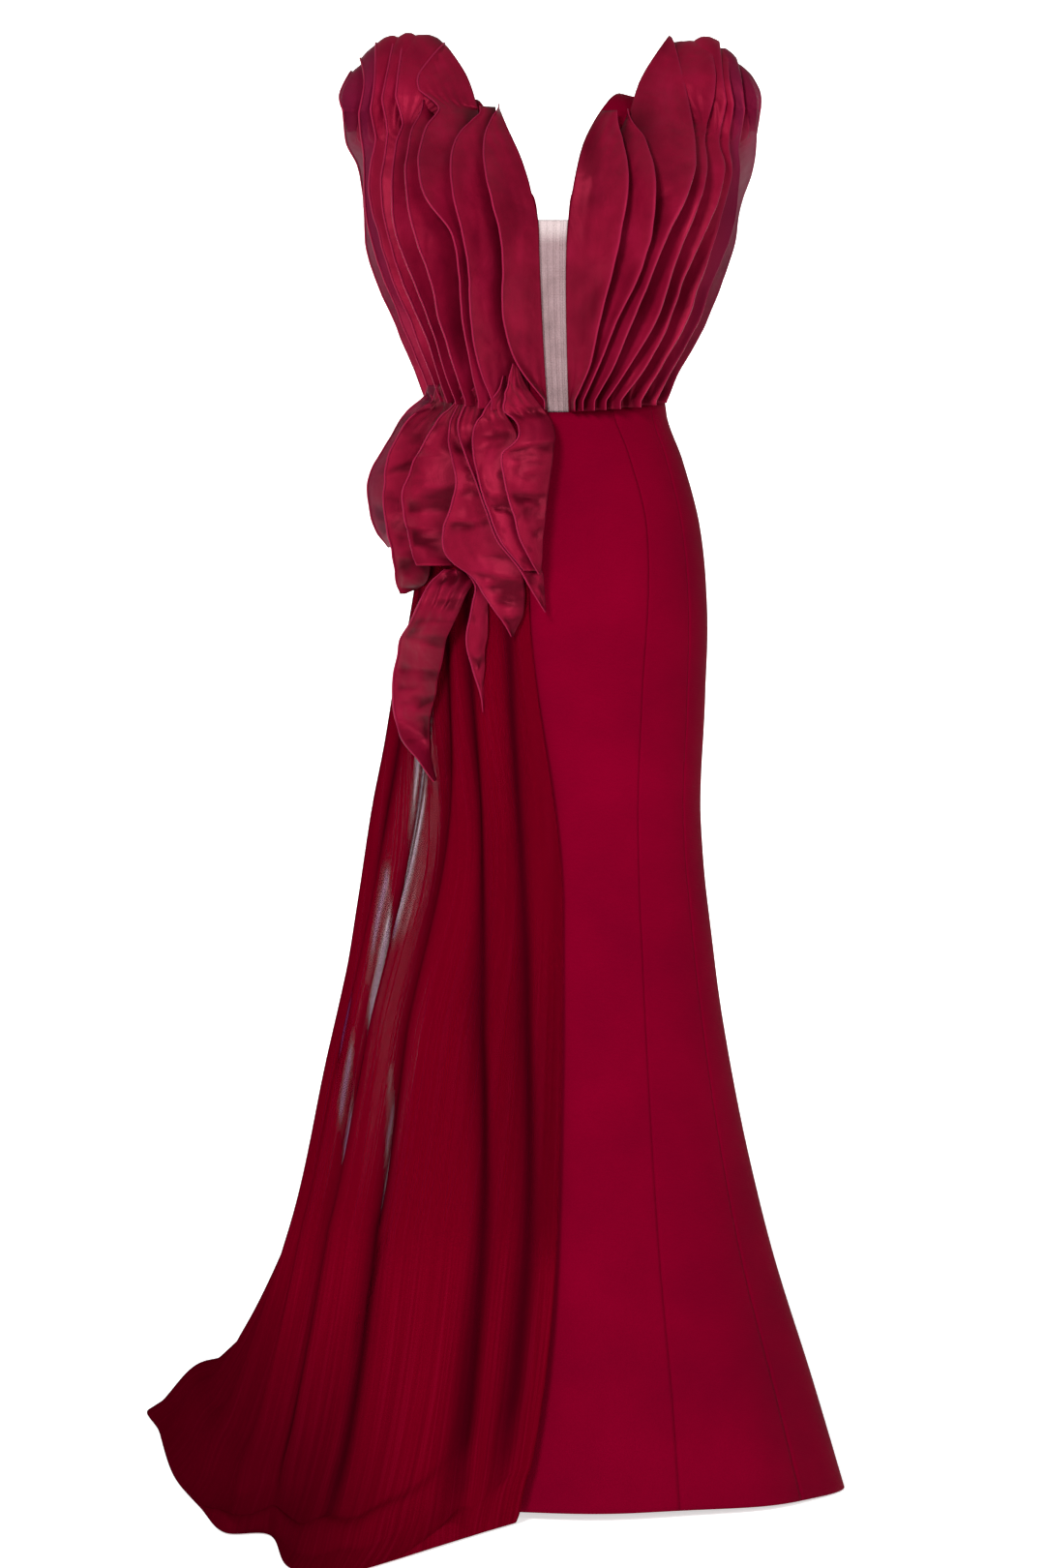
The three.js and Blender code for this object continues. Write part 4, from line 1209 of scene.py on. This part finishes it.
        def point(u: float, v: float) -> Vector:
            """Point of the frill, from root to free edge and from shoulder to waist.

            Args:
                u: Share across the sheet.
                v: Share along the sheet.

            Returns:
                The point in millimetres above the floor.
            """
            z = lerp(frill.top, low, v)
            rise = max(0.0, (z - CAP_START) / (frill.top - CAP_START))
            stand = self.root_stand + self.cap_stand * rise**2
            deg = neck(z) if k == 1 else root_deg(z)
            if k == 1 and sign < 0 and z > CAP_START:
                deg = min(deg, self.tip_root(z))
            root = FIGURE.point(sign * deg, z, stand)
            middle = math.sin(math.pi * v) ** 0.7
            sway = 1.8 * middle * wander(seed, z * 0.016, 0.5)
            sway += 0.8 * middle * wander(seed, z * 0.05, 8.0)
            near = smooth(z, frill.top - frill.reach, frill.top)
            edge = Vector((lerp(edge_at(z) + sway * sign, frill.tack_x, near), depth(z), z))
            root = root.lerp(edge, frill.pinch * near)
            curl = self.curl * (1.0 - min(1.0, 1.4 * rise))
            p = frill_point(root, edge, curl, u)
            away = Vector((p.x, p.y * 1.4, 0.0)).normalized()
            span = (edge - root).length
            ends = abs(2 * v - 1) ** 5 * (frill.gathered if v < 0.5 else 1.0)
            phase = seed * 1.7 + 1.3 * wander(seed, z * 0.012, 4.0)
            crease = math.sin(u * max(1.0, span / self.crease_mm) * math.tau + phase)
            belly = math.sin(math.pi * clamp(u)) ** 0.6
            lift = (0.12 + 1.5 * ends) * crease * belly
            lift += self.belly * self._belly(seed, u, z) * clamp(u * 3.0)
            return p + away * (lift * clamp(span / 30.0, 0.15, 1.0))

        return point

    def _long_frill(self, frill: PointMaker, petal: PetalShape) -> PointMaker:
        """Point maker of a frill that goes on over the shoulder to the back.

        Args:
            frill: Point maker of its length below the tack.
            petal: Surface of its length over the shoulder.

        Returns:
            The point maker of both lengths.
        """

        def point(u: float, v: float) -> Vector:
            """Point from root to free edge and from the back tack to the waist."""
            if v < self.over_share:
                return petal.point(u, 1.0 - v / self.over_share)
            return frill(u, (v - self.over_share) / (1.0 - self.over_share))

        return point

    @staticmethod
    def _belly(seed: float, u: float, z: float) -> float:
        """Slow rise and fall of a frill's face, about -1 to 1."""
        return wander(u * 1.3 + seed, z * 0.012, 2.0) + 0.3 * wander(u * 2.6 + seed, z * 0.035, 6.0)

    def _painted_shade(self, sign: int, k: int, frill: Frill) -> Share:
        """Share of painted shade on a frill's face: beside the next frill, in its own dips and just
        above the waist.

        Args:
            sign: -1 on the wearer's right, 1 on the left.
            k: The frill's place from the neckline, from 1.
            frill: Its sizes.

        Returns:
            The share of the painted shade's colour over the sheet.
        """
        most = 0.35 if k == 1 else 0.95
        over = 0.25 if frill.petal in ("r1", "l1") else 0.6
        seed = 3.1 * k + sign

        def painted_shade(u: float, v: float) -> float:
            """Share of the painted shade's colour."""
            share = (v - self.over_share) / (1.0 - self.over_share) if frill.petal else v
            below = smooth(share, -0.06, 0.1) if frill.petal else 1.0
            z = lerp(frill.top, self.foot, max(0.0, share))
            # Painted shade: darker towards the root, in the dips of the face and just above the waist.
            dip = 1.1 * max(0.0, -self._belly(seed, u, z)) * smooth(u, 0.98, 0.85)
            waist = 0.45 * smooth(z, self.foot + 34.0, self.foot) * smooth(u, 0.95, 0.75)
            return clamp(most * lerp(over, 1.0, below) * smooth(u, 0.7, 0.12) + dip * below + waist)

        return painted_shade

    @staticmethod
    def _open(u: float, v: float) -> float:
        """How see-through an outer frill is: most by the middle of its free edge."""
        return 0.24 * smooth(u, 0.3, 1.0) * math.sin(math.pi * v)

    def build(self, finishes: Finishes) -> None:
        """Build the frills of both sides.

        Args:
            finishes: The dress's materials.
        """
        for sign, hand, frills, edges in (
            (-1, "r", self.right, self.right_edges),
            (1, "l", self.left, self.left_edges),
        ):
            for k, (frill, edge_x) in enumerate(zip(frills, edges), 1):
                point = self._frill(sign, k, frill, edge_x)
                replaced = [f"bodice_frill_{hand}{k}"]
                if frill.petal:
                    point = self._long_frill(point, PetalShape(self.petals[frill.petal], 1.9 * k))
                    replaced.append(f"shoulder_petal_{frill.petal}")
                ClothSheet(
                    name=f"organza_frill_{hand}{k}",
                    material=Material.ORGANZA,
                    point=point,
                    columns=26,
                    rows=190 if frill.petal else 110,
                    wall=0.5,
                    roll=Roll(),
                    soften=(self.over_share, 5 if frill.gathered else 16) if frill.petal else None,
                    hold=Hold.GATHERED,
                    replaces=tuple(replaced),
                    rim=painted_rim_highlight,
                    sheer=self._open if k >= len(frills) - 1 else nowhere,
                    painted_shade=self._painted_shade(sign, k, frill),
                ).build(finishes)


@dataclass(frozen=True)
class Leaf:
    """One leaf of the hip cascade: rows of height, left and right x, and its stands."""

    left_stand: float
    right_stand: float
    seat: float
    curl: float
    aft: float
    rows: tuple[tuple[float, float, float], ...]


@dataclass
class HipCascade:
    """Organza leaves with pointed tails on the wearer's right hip."""

    pinch: float = 0.25
    leaves: tuple[Leaf, ...] = (
        Leaf(35, 28, 1.8, 0, 0, (
            (1221, -50, -46), (1200, -55, -37), (1185, -59, -27), (1170, -60, -15),
            (1163, -51, -10), (1155, -45, -7), (1144, -44, -5), (1136, -50, -6), (1128, -61, -7),
            (1118, -63, -8), (1104, -60, -10), (1083, -55, -13), (1063, -50, -15),
            (1037, -43, -18), (1017, -33, -19), (1007, -28, -20), (998, -23, -21))),
        Leaf(31, 24, 1.8, 0, 0, (
            (1208, -61, -57), (1195, -65, -58), (1183, -74, -59), (1170, -82, -58),
            (1157, -91, -50), (1145, -93, -44), (1132, -92, -50), (1119, -90, -56),
            (1104, -86, -56), (1083, -81, -52), (1063, -74, -47), (1048, -69, -43),
            (1032, -61, -35), (1017, -50, -28), (1002, -39, -24))),
        Leaf(27, 16, 1.8, 0, 0, (
            (1203, -85, -81), (1193, -94, -78), (1183, -100, -81), (1170, -106, -83),
            (1155, -109, -89), (1140, -107, -90), (1124, -101, -88), (1109, -96, -84),
            (1094, -91, -80), (1078, -85, -74), (1063, -79, -67), (1048, -73, -58),
            (1032, -65, -46), (1017, -53, -32), (1002, -42, -19), (986, -34, -17), (973, -26, -16),
            (958, -16, -15))),
        Leaf(22, 14, 1.8, 0, 0, (
            (1196, -98, -94), (1186, -105, -91), (1175, -112, -93), (1160, -119, -99),
            (1140, -120, -98), (1124, -116, -94), (1104, -110, -87), (1089, -110, -81),
            (1073, -114, -75), (1058, -119, -69), (1048, -123, -64), (1032, -124, -58),
            (1017, -120, -49), (1007, -111, -42), (994, -93, -39), (976, -81, -38),
            (955, -66, -40), (943, -58, -45), (932, -52, -50))),
        Leaf(22, 6, 1.8, -5, -24, (
            (1198, -107, -104), (1185, -108, -104), (1176, -116, -104), (1166, -127, -108),
            (1151, -138, -112), (1135, -146, -114), (1120, -154, -112), (1104, -159, -108),
            (1089, -165, -108), (1073, -166, -111), (1053, -164, -116), (1032, -159, -119),
            (1017, -156, -116), (1007, -152, -112))),
        Leaf(15, 9, 5.5, 0, 0, (
            (1032, -116, -106), (1017, -112, -101), (1002, -101, -89), (986, -91, -82),
            (971, -92, -78), (950, -96, -76), (935, -98, -76), (920, -98, -78), (899, -93, -79),
            (884, -89, -81), (868, -85, -81), (851, -83, -82))),
        Leaf(30, 10, 1.8, -6, 2, (
            (1200, -130, -116), (1185, -135, -114), (1175, -148, -116), (1165, -160, -122),
            (1151, -170, -130), (1136, -178, -136), (1120, -184, -141), (1105, -188, -145),
            (1084, -189, -150), (1063, -187, -150), (1042, -184, -147), (1027, -181, -144),
            (1011, -181, -140), (996, -178, -140), (985, -175, -146), (976, -172, -166))),
        Leaf(40, 14, 1.8, -4, 40, (
            (1200, -139, -126), (1187, -144, -126), (1178, -154, -128), (1168, -166, -136),
            (1157, -175, -144), (1142, -183, -152), (1129, -190, -158), (1116, -197, -164),
            (1105, -202, -168), (1093, -205, -170), (1079, -206, -170), (1058, -202, -169),
            (1042, -196, -168), (1032, -188, -168), (1026, -184, -174))),
        Leaf(42, 28, 4.9, -2, -22, (
            (1003, -120, -93), (991, -134, -92), (979, -143, -97), (965, -151, -103),
            (945, -163, -112), (929, -173, -119), (909, -177, -125), (888, -179, -129),
            (862, -178, -134), (842, -175, -137), (821, -167, -138), (801, -152, -137),
            (777, -135, -134))),
    )
    waist_stand: float = 23.0
    waist_height: float = 1180.0
    swell: float = 48.0
    crease_mm: float = 14.0
    sheer_leaf: int = 8

    @staticmethod
    def _open(u: float, v: float) -> float:
        """How see-through the outermost leaf is towards its free edge."""
        return 0.14 * smooth(u, 0.1, 0.9)

    @staticmethod
    def _pull(u: float, z: float, seed: float) -> float:
        """Depth of the short wrinkles that the leaf's own weight pulls across its face."""
        return max(0.0, wander(u * 1.1, z * 0.07, seed + 7.0) + 0.3 * wander(u * 3.0, z * 0.15, seed))

    def _painted_shade(self, leaf: Leaf, seed: float) -> Share:
        """Share of painted shade on a leaf's face: by its root, in the pleats of its gathers, in its
        wrinkles and in its dips.

        Args:
            leaf: The leaf's table.
            seed: What sets its wrinkles apart.

        Returns:
            The share of the painted shade's colour over the sheet.
        """
        top, foot = leaf.rows[0][0], leaf.rows[-1][0]

        def painted_shade(u: float, v: float) -> float:
            """Share of the painted shade's colour."""
            z = lerp(top, foot, v)
            pleat = 0.5 + 0.5 * math.sin(u * 4.0 * math.tau + seed)
            # Painted shade: darker towards the root, in the pleats at the top, in the wrinkles and in
            # the dips of the face.
            return clamp(
                0.6 * smooth(u, 0.5, 0.0)
                + 0.75 * smooth(v, 0.3, 0.02) * pleat
                + 1.9 * self._pull(u, z, seed) * smooth(u, 0.97, 0.8)
                + 0.5 * max(0.0, -wander(u * 1.4, z * 0.016, seed)) * smooth(u, 0.97, 0.8)
            )

        return painted_shade

    def _point(self, leaf: Leaf, seed: float) -> PointMaker:
        """Point maker of one leaf.

        Args:
            leaf: The leaf's table.
            seed: What sets its wrinkles apart.

        Returns:
            The leaf's point maker.
        """
        heights, *sides = zip(*leaf.rows)
        left, right = (Track(heights, side) for side in sides)
        tacked = leaf.seat < 3.0
        order = 0.08 * leaf.left_stand

        def point(u: float, v: float) -> Vector:
            """Point of the leaf, from its right edge to its left one and from top to tip.

            Args:
                u: Share across the sheet.
                v: Share along the sheet.

            Returns:
                The point in millimetres above the floor.
            """
            z = lerp(heights[0], heights[-1], v)
            if tacked:
                free = smooth(z, self.waist_height, self.waist_height - self.swell)
                high, low = self.waist_stand + order, self.waist_stand - 4.0
            else:
                free = 1.0 - max(0.0, 1.0 - v / self.pinch) ** 2
                high, low = leaf.seat + 0.35 * leaf.left_stand, leaf.seat
            start = lerp(low, leaf.right_stand, free)
            stand = lerp(high, leaf.left_stand, free)
            sway = 1.4 * free * wander(seed, z * 0.03, 0.3)
            root = FIGURE.over_front(right(z), z, start)
            edge = FIGURE.over_front(left(z) + sway, z, stand, leaf.aft * free)
            p = frill_point(root, edge, leaf.curl, u)
            span = (edge - root).length
            away = Vector((p.x * 0.8, p.y, 0.0)).normalized()
            turns = u * max(1.0, span / self.crease_mm)
            crease = math.sin(turns * math.tau + seed + wander(seed, z * 0.015, 6.0))
            gather = 0.12 + 2.4 * smooth(v, 0.34, 0.04)
            lift = gather * crease * math.sin(math.pi * clamp(u)) ** 0.6
            slow, quick = wander(u * 1.4, z * 0.016, seed), wander(u * 1.6, z * 0.05, seed + 3.0)
            lift += 6.0 * slow + 2.0 * quick
            lift -= 5.0 * self._pull(u, z, seed) * math.sin(math.pi * clamp(u))
            return p + away * (lift * clamp(span / 30.0, 0.1, 1.0))

        return point

    def build(self, finishes: Finishes) -> None:
        """Build the nine leaves.

        Args:
            finishes: The dress's materials.
        """
        for k, leaf in enumerate(self.leaves, 1):
            ClothSheet(
                name=f"organza_leaf_{k}",
                material=Material.ORGANZA,
                point=self._point(leaf, 2.3 * k),
                columns=26,
                rows=90,
                wall=0.5,
                roll=Roll(),
                hold=Hold.HUNG,
                replaces=(f"cascade_leaf_{k}",),
                sheer=self._open if k == self.sheer_leaf else nowhere,
                painted_shade=self._painted_shade(leaf, 2.3 * k),
                rim=painted_rim_highlight,
            ).build(finishes)


@dataclass(frozen=True)
class TulleFold:
    """One main fold of the fall: its angle at the top and the foot, depth and width."""

    top_deg: float
    foot_deg: float
    depth: float
    width_deg: float

    def offset(self, deg: float, z: float) -> float:
        """Angle from the fold's line at a height, in widths."""
        return (deg - lerp(self.foot_deg, self.top_deg, smooth(z, 250.0, 900.0))) / self.width_deg


@dataclass
class TulleOverlay:
    """Sheer overlay from under the cascade round to the centre back, with its train."""

    top: float = 1056.0
    break_height: float = 300.0
    split: float = 0.55
    front_low: float = -4.0
    front_high: float = -15.0
    seat: float = 3.2
    stand: float = 5.0
    fold: float = 4.0
    swag: float = 9.0
    fold_gain: float = 1.35
    trough_share: float = 0.7
    fine_fold: float = 2.6
    knee_low: float = 500.0
    knee_high: float = 860.0
    bend_share: float = 0.8
    floor_gap: float = 0.8
    slope_run: float = 60.0
    side: Track = Track(
        (1056, 1000, 900, 826, 745, 643, 567, 459, 336, 240),
        (-156, -166, -176, -187, -202, -215, -225, -247, -272, -298),
    )
    # deg, x, y, drop
    hem: tuple[tuple[float, float, float, float], ...] = (
        (-4, -47, -207, 1.0),
        (-14, -85, -262, 1.2),
        (-24, -122, -318, 1.5),
        (-34, -197, -430, 2.2),
        (-44, -236, -474, 2.6),
        (-54, -278, -416, 2.5),
        (-64, -303, -268, 1.9),
        (-74, -351, -255, 1.7),
        (-84, -384, -130, 1.3),
        (-94, -425, 44, 0.95),
        (-106, -460, 300, 0.8),
        (-118, -480, 458, 0.8),
        (-132, -360, 460, 1.0),
        (-148, -220, 440, 1.6),
        (-164, -90, 400, 1.4),
        (-180, 16, 330, 1.2),
    )

    folds: tuple[TulleFold, ...] = (
        TulleFold(-20, -8, 4.0, 3.4),
        TulleFold(-39, -19, 6.0, 3.6),
        TulleFold(-50, -46, 8.0, 3.8),
        TulleFold(-61, -62, 6.0, 3.2),
        TulleFold(-72, -74, 7.0, 3.6),
        TulleFold(-84, -88, 6.0, 3.4),
        TulleFold(-97, -101, 7.0, 4.0),
        TulleFold(-112, -115, 6.0, 3.8),
        TulleFold(-127, -129, 7.0, 4.2),
        TulleFold(-143, -145, 6.0, 4.0),
        TulleFold(-159, -158, 6.0, 4.0),
    )
    # deg at the top and the foot, highest and lowest z, half width in degrees, openness
    strips: tuple[tuple[float, ...], ...] = (
        (-68, -61, 880, 600, 4.2, 0.74),
        (-72, -63, 690, 440, 3.2, 0.76),
        (-75, -67, 560, 360, 2.4, 0.74),
        (-56, -49, 470, 300, 1.8, 0.66),
        (-46, -58, 300, 150, 3.0, 0.5),
    )

    def _density(self, deg: float, z: float) -> float:
        """How closely the net is gathered in the troughs of the folds, 0 to 1."""
        return clamp(sum(math.exp(-((fold.offset(deg, z) + 1.1) ** 2)) for fold in self.folds))

    def _folds(self, deg: float, z: float) -> float:
        """Main gathered folds of the fall, deeper towards the floor.

        Args:
            deg: Angle from the front, wearer's left positive.
            z: Height above the floor.

        Returns:
            Distance outwards in millimetres.
        """
        low = 1.0 - z / self.top
        main = self.fold * low * sine(deg * 14.0) * 0.4
        for fold in self.folds:
            at = fold.offset(deg, z)
            main += self.fold_gain * fold.depth * smooth(low, 0.0, 0.5) * (
                math.exp(-(at**2)) - self.trough_share * math.exp(-(((at + 1.5) / 0.8) ** 2))
            )
        strayed = 30.0 * wander(deg * 0.03, z * 0.002, 7.0)
        fine = self.fine_fold * smooth(low, 0.0, 0.35) * sine(deg * 27.0 + strayed)
        soft = 1.6 * wander(deg * 0.12, z * 0.004, 2.0)
        return main + fine + soft * smooth(low, 0.0, 0.2)

    def _wall(self, deg: float, z: float) -> Vector:
        """Point of the fall above the floor.

        Args:
            deg: Angle from the front, wearer's left positive.
            z: Height above the floor.

        Returns:
            The point in millimetres above the floor.
        """
        side = FIGURE.sway(z) - self.side(z)
        outward = max(self.stand, side - FIGURE.half(z))
        high = smooth(z, self.knee_low, self.knee_high)
        share = abs(sine(deg)) ** lerp(1.5, 9.0, high)
        low = 1.0 - z / self.top
        near = self.seat + self.stand * min(1.0, 2.2 * low) + 6.0 * low
        stand = near + max(0.0, outward - near) * share * min(1.0, 6.0 * low)
        return FIGURE.point(deg, z, stand + self._folds(deg, z))

    def _degrees(self, u: float, v: float) -> float:
        """Angle from the front at a share round the fall, which is narrower at the top."""
        front = lerp(self.front_low, self.front_high, smooth(self._height(v), 640.0, 960.0))
        return lerp(front, -180.0, u)

    def _height(self, v: float) -> float:
        """Height of the fall a share v down it, and below the break roughly."""
        if v <= self.split:
            return lerp(self.top, self.break_height, v / self.split)
        return self.break_height * (1.0 - (v - self.split) / (1.0 - self.split)) ** 2

    def _point(self, u: float, v: float) -> Vector:
        """Point of the overlay, from the front edge round and from top to hem.

        Args:
            u: Share across the sheet.
            v: Share along the sheet.

        Returns:
            The point in millimetres above the floor.
        """
        deg = self._degrees(u, v)
        if v <= self.split:
            return self._wall(deg, self._height(v))
        s = (v - self.split) / (1.0 - self.split)
        start = self._wall(deg, self.break_height)
        before = self._wall(deg, self.break_height + self.slope_run)
        hem_x, hem_y, drop = (column(deg) for column in self._hem_tracks)
        reach = self.break_height / self.slope_run * self.bend_share
        bend = start + (start - before) * reach
        w, m = (1 - s) ** 2, 2 * s * (1 - s)
        floor = FLOOR_CLEAR + self.floor_gap
        ripple = self.swag * smooth(s, 0.4, 0.75) * smooth(s, 1.0, 0.96)
        swag = math.sin(s * 17.0 + deg * 0.11 + 2.2 * wander(deg * 0.04, s * 2.0, 5.0))
        swag += 0.7 * wander(deg * 0.12, s * 2.5, 3.0) + 0.4 * sine(deg * 27.0)
        wave = ripple * max(0.0, swag + 0.25)
        return Vector((
            start.x * w + bend.x * m + hem_x * s * s,
            start.y * w + bend.y * m + hem_y * s * s,
            floor + (self.break_height - floor) * (1 - s) ** (drop + 0.2) + wave,
        ))

    def build(self, finishes: Finishes) -> None:
        """Build the overlay.

        Args:
            finishes: The dress's materials.
        """
        degs, *columns = zip(*self.hem)
        self._hem_tracks = [Track(degs, column) for column in columns]

        def sheer(u: float, v: float) -> float:
            """How open the net is: more behind, and where one layer spans a gap.

            Args:
                u: Share across the sheet.
                v: Share along the sheet.

            Returns:
                Openness, below 0 where the net is doubled on the floor.
            """
            deg, z = self._degrees(u, v), self._height(v)
            behind = smooth(deg, -92.0, -106.0) * smooth(z, 150.0, 420.0)
            opened = lerp(0.18, 0.44, behind) + 0.16 * wander(deg * 0.11, v * 2.0, 1.0)
            opened -= 0.3 * self._density(deg, z) * (1.0 - behind)
            opened += 0.35 * smooth(deg, self.front_high - 2.0, self.front_low)
            opened *= smooth(z, 60.0, 420.0)
            for top_deg, foot_deg, top, foot, width, most in self.strips:
                along = clamp((z - foot) / (top - foot))
                middle = lerp(foot_deg, top_deg, along)
                narrow = width * (0.25 + 0.75 * math.sin(math.pi * along) ** 0.7)
                strayed = 0.8 * wander(deg * 0.3, z * 0.004, 2.0)
                strands = 0.64 + 0.36 * math.sin(deg * 2.2 + strayed)
                aside = abs(deg - middle) if deg > -90.0 else 0.55 * abs(deg + 180.0 + middle)
                inside = smooth(aside, narrow, narrow * 0.55) * strands
                ends = smooth(z, foot - 12.0, foot + 12.0) * smooth(z, top + 12.0, top - 12.0)
                opened = lerp(opened, most, inside * ends)
            return clamp(opened) - 0.9 * smooth(z, 330.0, 60.0) * smooth(v, 1.0, 0.992)

        def gathered(u: float, v: float) -> float:
            """Share of the dark colour: painted shade in the folds' troughs, where the net also lies
            denser, and a darker pool where the train lies on the floor.
            """
            deg, z = self._degrees(u, v), self._height(v)
            pool = 0.62 * smooth(z, 300.0, 20.0) * smooth(deg, -30.0, -60.0)
            return max(pool, 0.9 * self._density(deg, z) * smooth(v, 1.0, 0.75))

        ClothSheet(
            name="tulle_fall",
            material=Material.TULLE,
            point=self._point,
            columns=330,
            rows=200,
            wall=0.4,
            hold=Hold.HUNG,
            rests_on=("crepe_skirt_side_r",),
            replaces=("tulle_overlay",),
            sheer=sheer,
            rim=gathered,
        ).build(finishes)


@dataclass
class Studio:
    """Pale floor, soft light and the photograph's camera."""

    camera_x: float = -0.0399
    camera_distance: float = 5.25
    camera_height: float = 1.05
    pitch_deg: float = 3.06
    focal_px: float = 5000.0
    frame_height_px: float = 1620.0
    sensor: float = 36.0
    sweep_near: float = -14.0
    sweep_turn: float = 10.5
    sweep_radius: float = 2.4
    sweep_half_width: float = 16.0
    # name, place, aim, side and watts of each lamp
    lamps: tuple[tuple[str, Vector, Vector, float, float], ...] = (
        ("key", Vector((-1.5, -4.2, 1.5)), Vector((0.0, 0.0, -0.5)), 1.1, 190.0),
        ("fill", Vector((2.4, -4.4, 0.5)), Vector((0.0, 0.0, -0.5)), 1.5, 75.0),
        ("rear", Vector((0.6, 6.0, 4.2)), Vector((0.0, 12.0, -0.4)), 4.0, 420.0),
    )

    def _floor(self) -> None:
        """Pale floor that curves up into a plain backdrop."""
        bm = bmesh.new()
        bmesh.ops.create_grid(bm, x_segments=1, y_segments=40, size=1.0)
        radius = self.sweep_radius
        for vert in bm.verts:
            k = round((vert.co.y + 1.0) * 20.0)
            angle = math.radians(90.0 * clamp((k - 4) / 32.0))
            y = lerp(self.sweep_near, self.sweep_turn, clamp(k / 4.0)) + radius * math.sin(angle)
            z = FLOOR_Z + radius * (1.0 - math.cos(angle)) + 6.0 * clamp((k - 36) / 4.0)
            vert.co = Vector((vert.co.x * self.sweep_half_width, y, z))
        for face in bm.faces:
            face.smooth = True
        mesh = bpy.data.meshes.new("studio_sweep")
        bm.to_mesh(mesh)
        bm.free()
        mat = bpy.data.materials.new("painted_studio_sweep")
        mat.use_nodes = True
        shader = mat.node_tree.nodes["Principled BSDF"]
        for socket, value in (
            ("Base Color", hex_linear("FBFAF9")),
            ("Roughness", 0.95),
            ("Specular IOR Level", 0.1),
            ("Emission Color", hex_linear("FFFFFF")),
            ("Emission Strength", 0.62),
        ):
            shader.inputs[socket].default_value = value
        mesh.materials.append(mat)
        link("studio_sweep", mesh)

    def _lamp(self, name: str, place: Vector, aim: Vector, size: float, power: float) -> None:
        """Add one soft square lamp.

        Args:
            name: The lamp's name.
            place: Where it stands, in metres.
            aim: What it points at.
            size: Side of the square.
            power: Power in watts.
        """
        lamp = bpy.data.lights.new(name, "AREA")
        lamp.size = size
        lamp.energy = power
        obj = link(name, lamp)
        obj.location = place
        obj.rotation_euler = (aim - place).to_track_quat("-Z", "Y").to_euler()

    def build(self) -> None:
        """Set the floor, lamps, world and camera."""
        scene = bpy.context.scene
        self._floor()
        for lamp in self.lamps:
            self._lamp(*lamp)
        world = bpy.data.worlds.new("studio")
        world.use_nodes = True
        background = world.node_tree.nodes["Background"]
        background.inputs["Color"].default_value = hex_linear("FFFFFF")
        background.inputs["Strength"].default_value = 0.28
        scene.world = world
        scene.view_settings.view_transform = "Standard"
        lens = bpy.data.cameras.new("photograph")
        lens.sensor_width = self.sensor
        lens.lens = self.focal_px / self.frame_height_px * self.sensor
        lens.clip_end = 60.0
        camera = link("photograph", lens)
        camera.location = (self.camera_x, -self.camera_distance, self.camera_height + FLOOR_Z)
        camera.rotation_euler = (math.radians(90.0 - self.pitch_deg), 0.0, 0.0)
        scene.camera = camera


def main() -> None:
    """Build the dress and its studio in order."""
    logging.basicConfig(level=logging.INFO, format="%(name)s: %(message)s")
    finishes = Finishes()
    Studio().build()
    for part in (Skirt(), BodiceBase(), BodiceFrills(), HipCascade(), TulleOverlay()):
        part.build(finishes)
        LOG.info("%s done", type(part).__name__)
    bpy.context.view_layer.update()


if __name__ == "__main__":
    main()
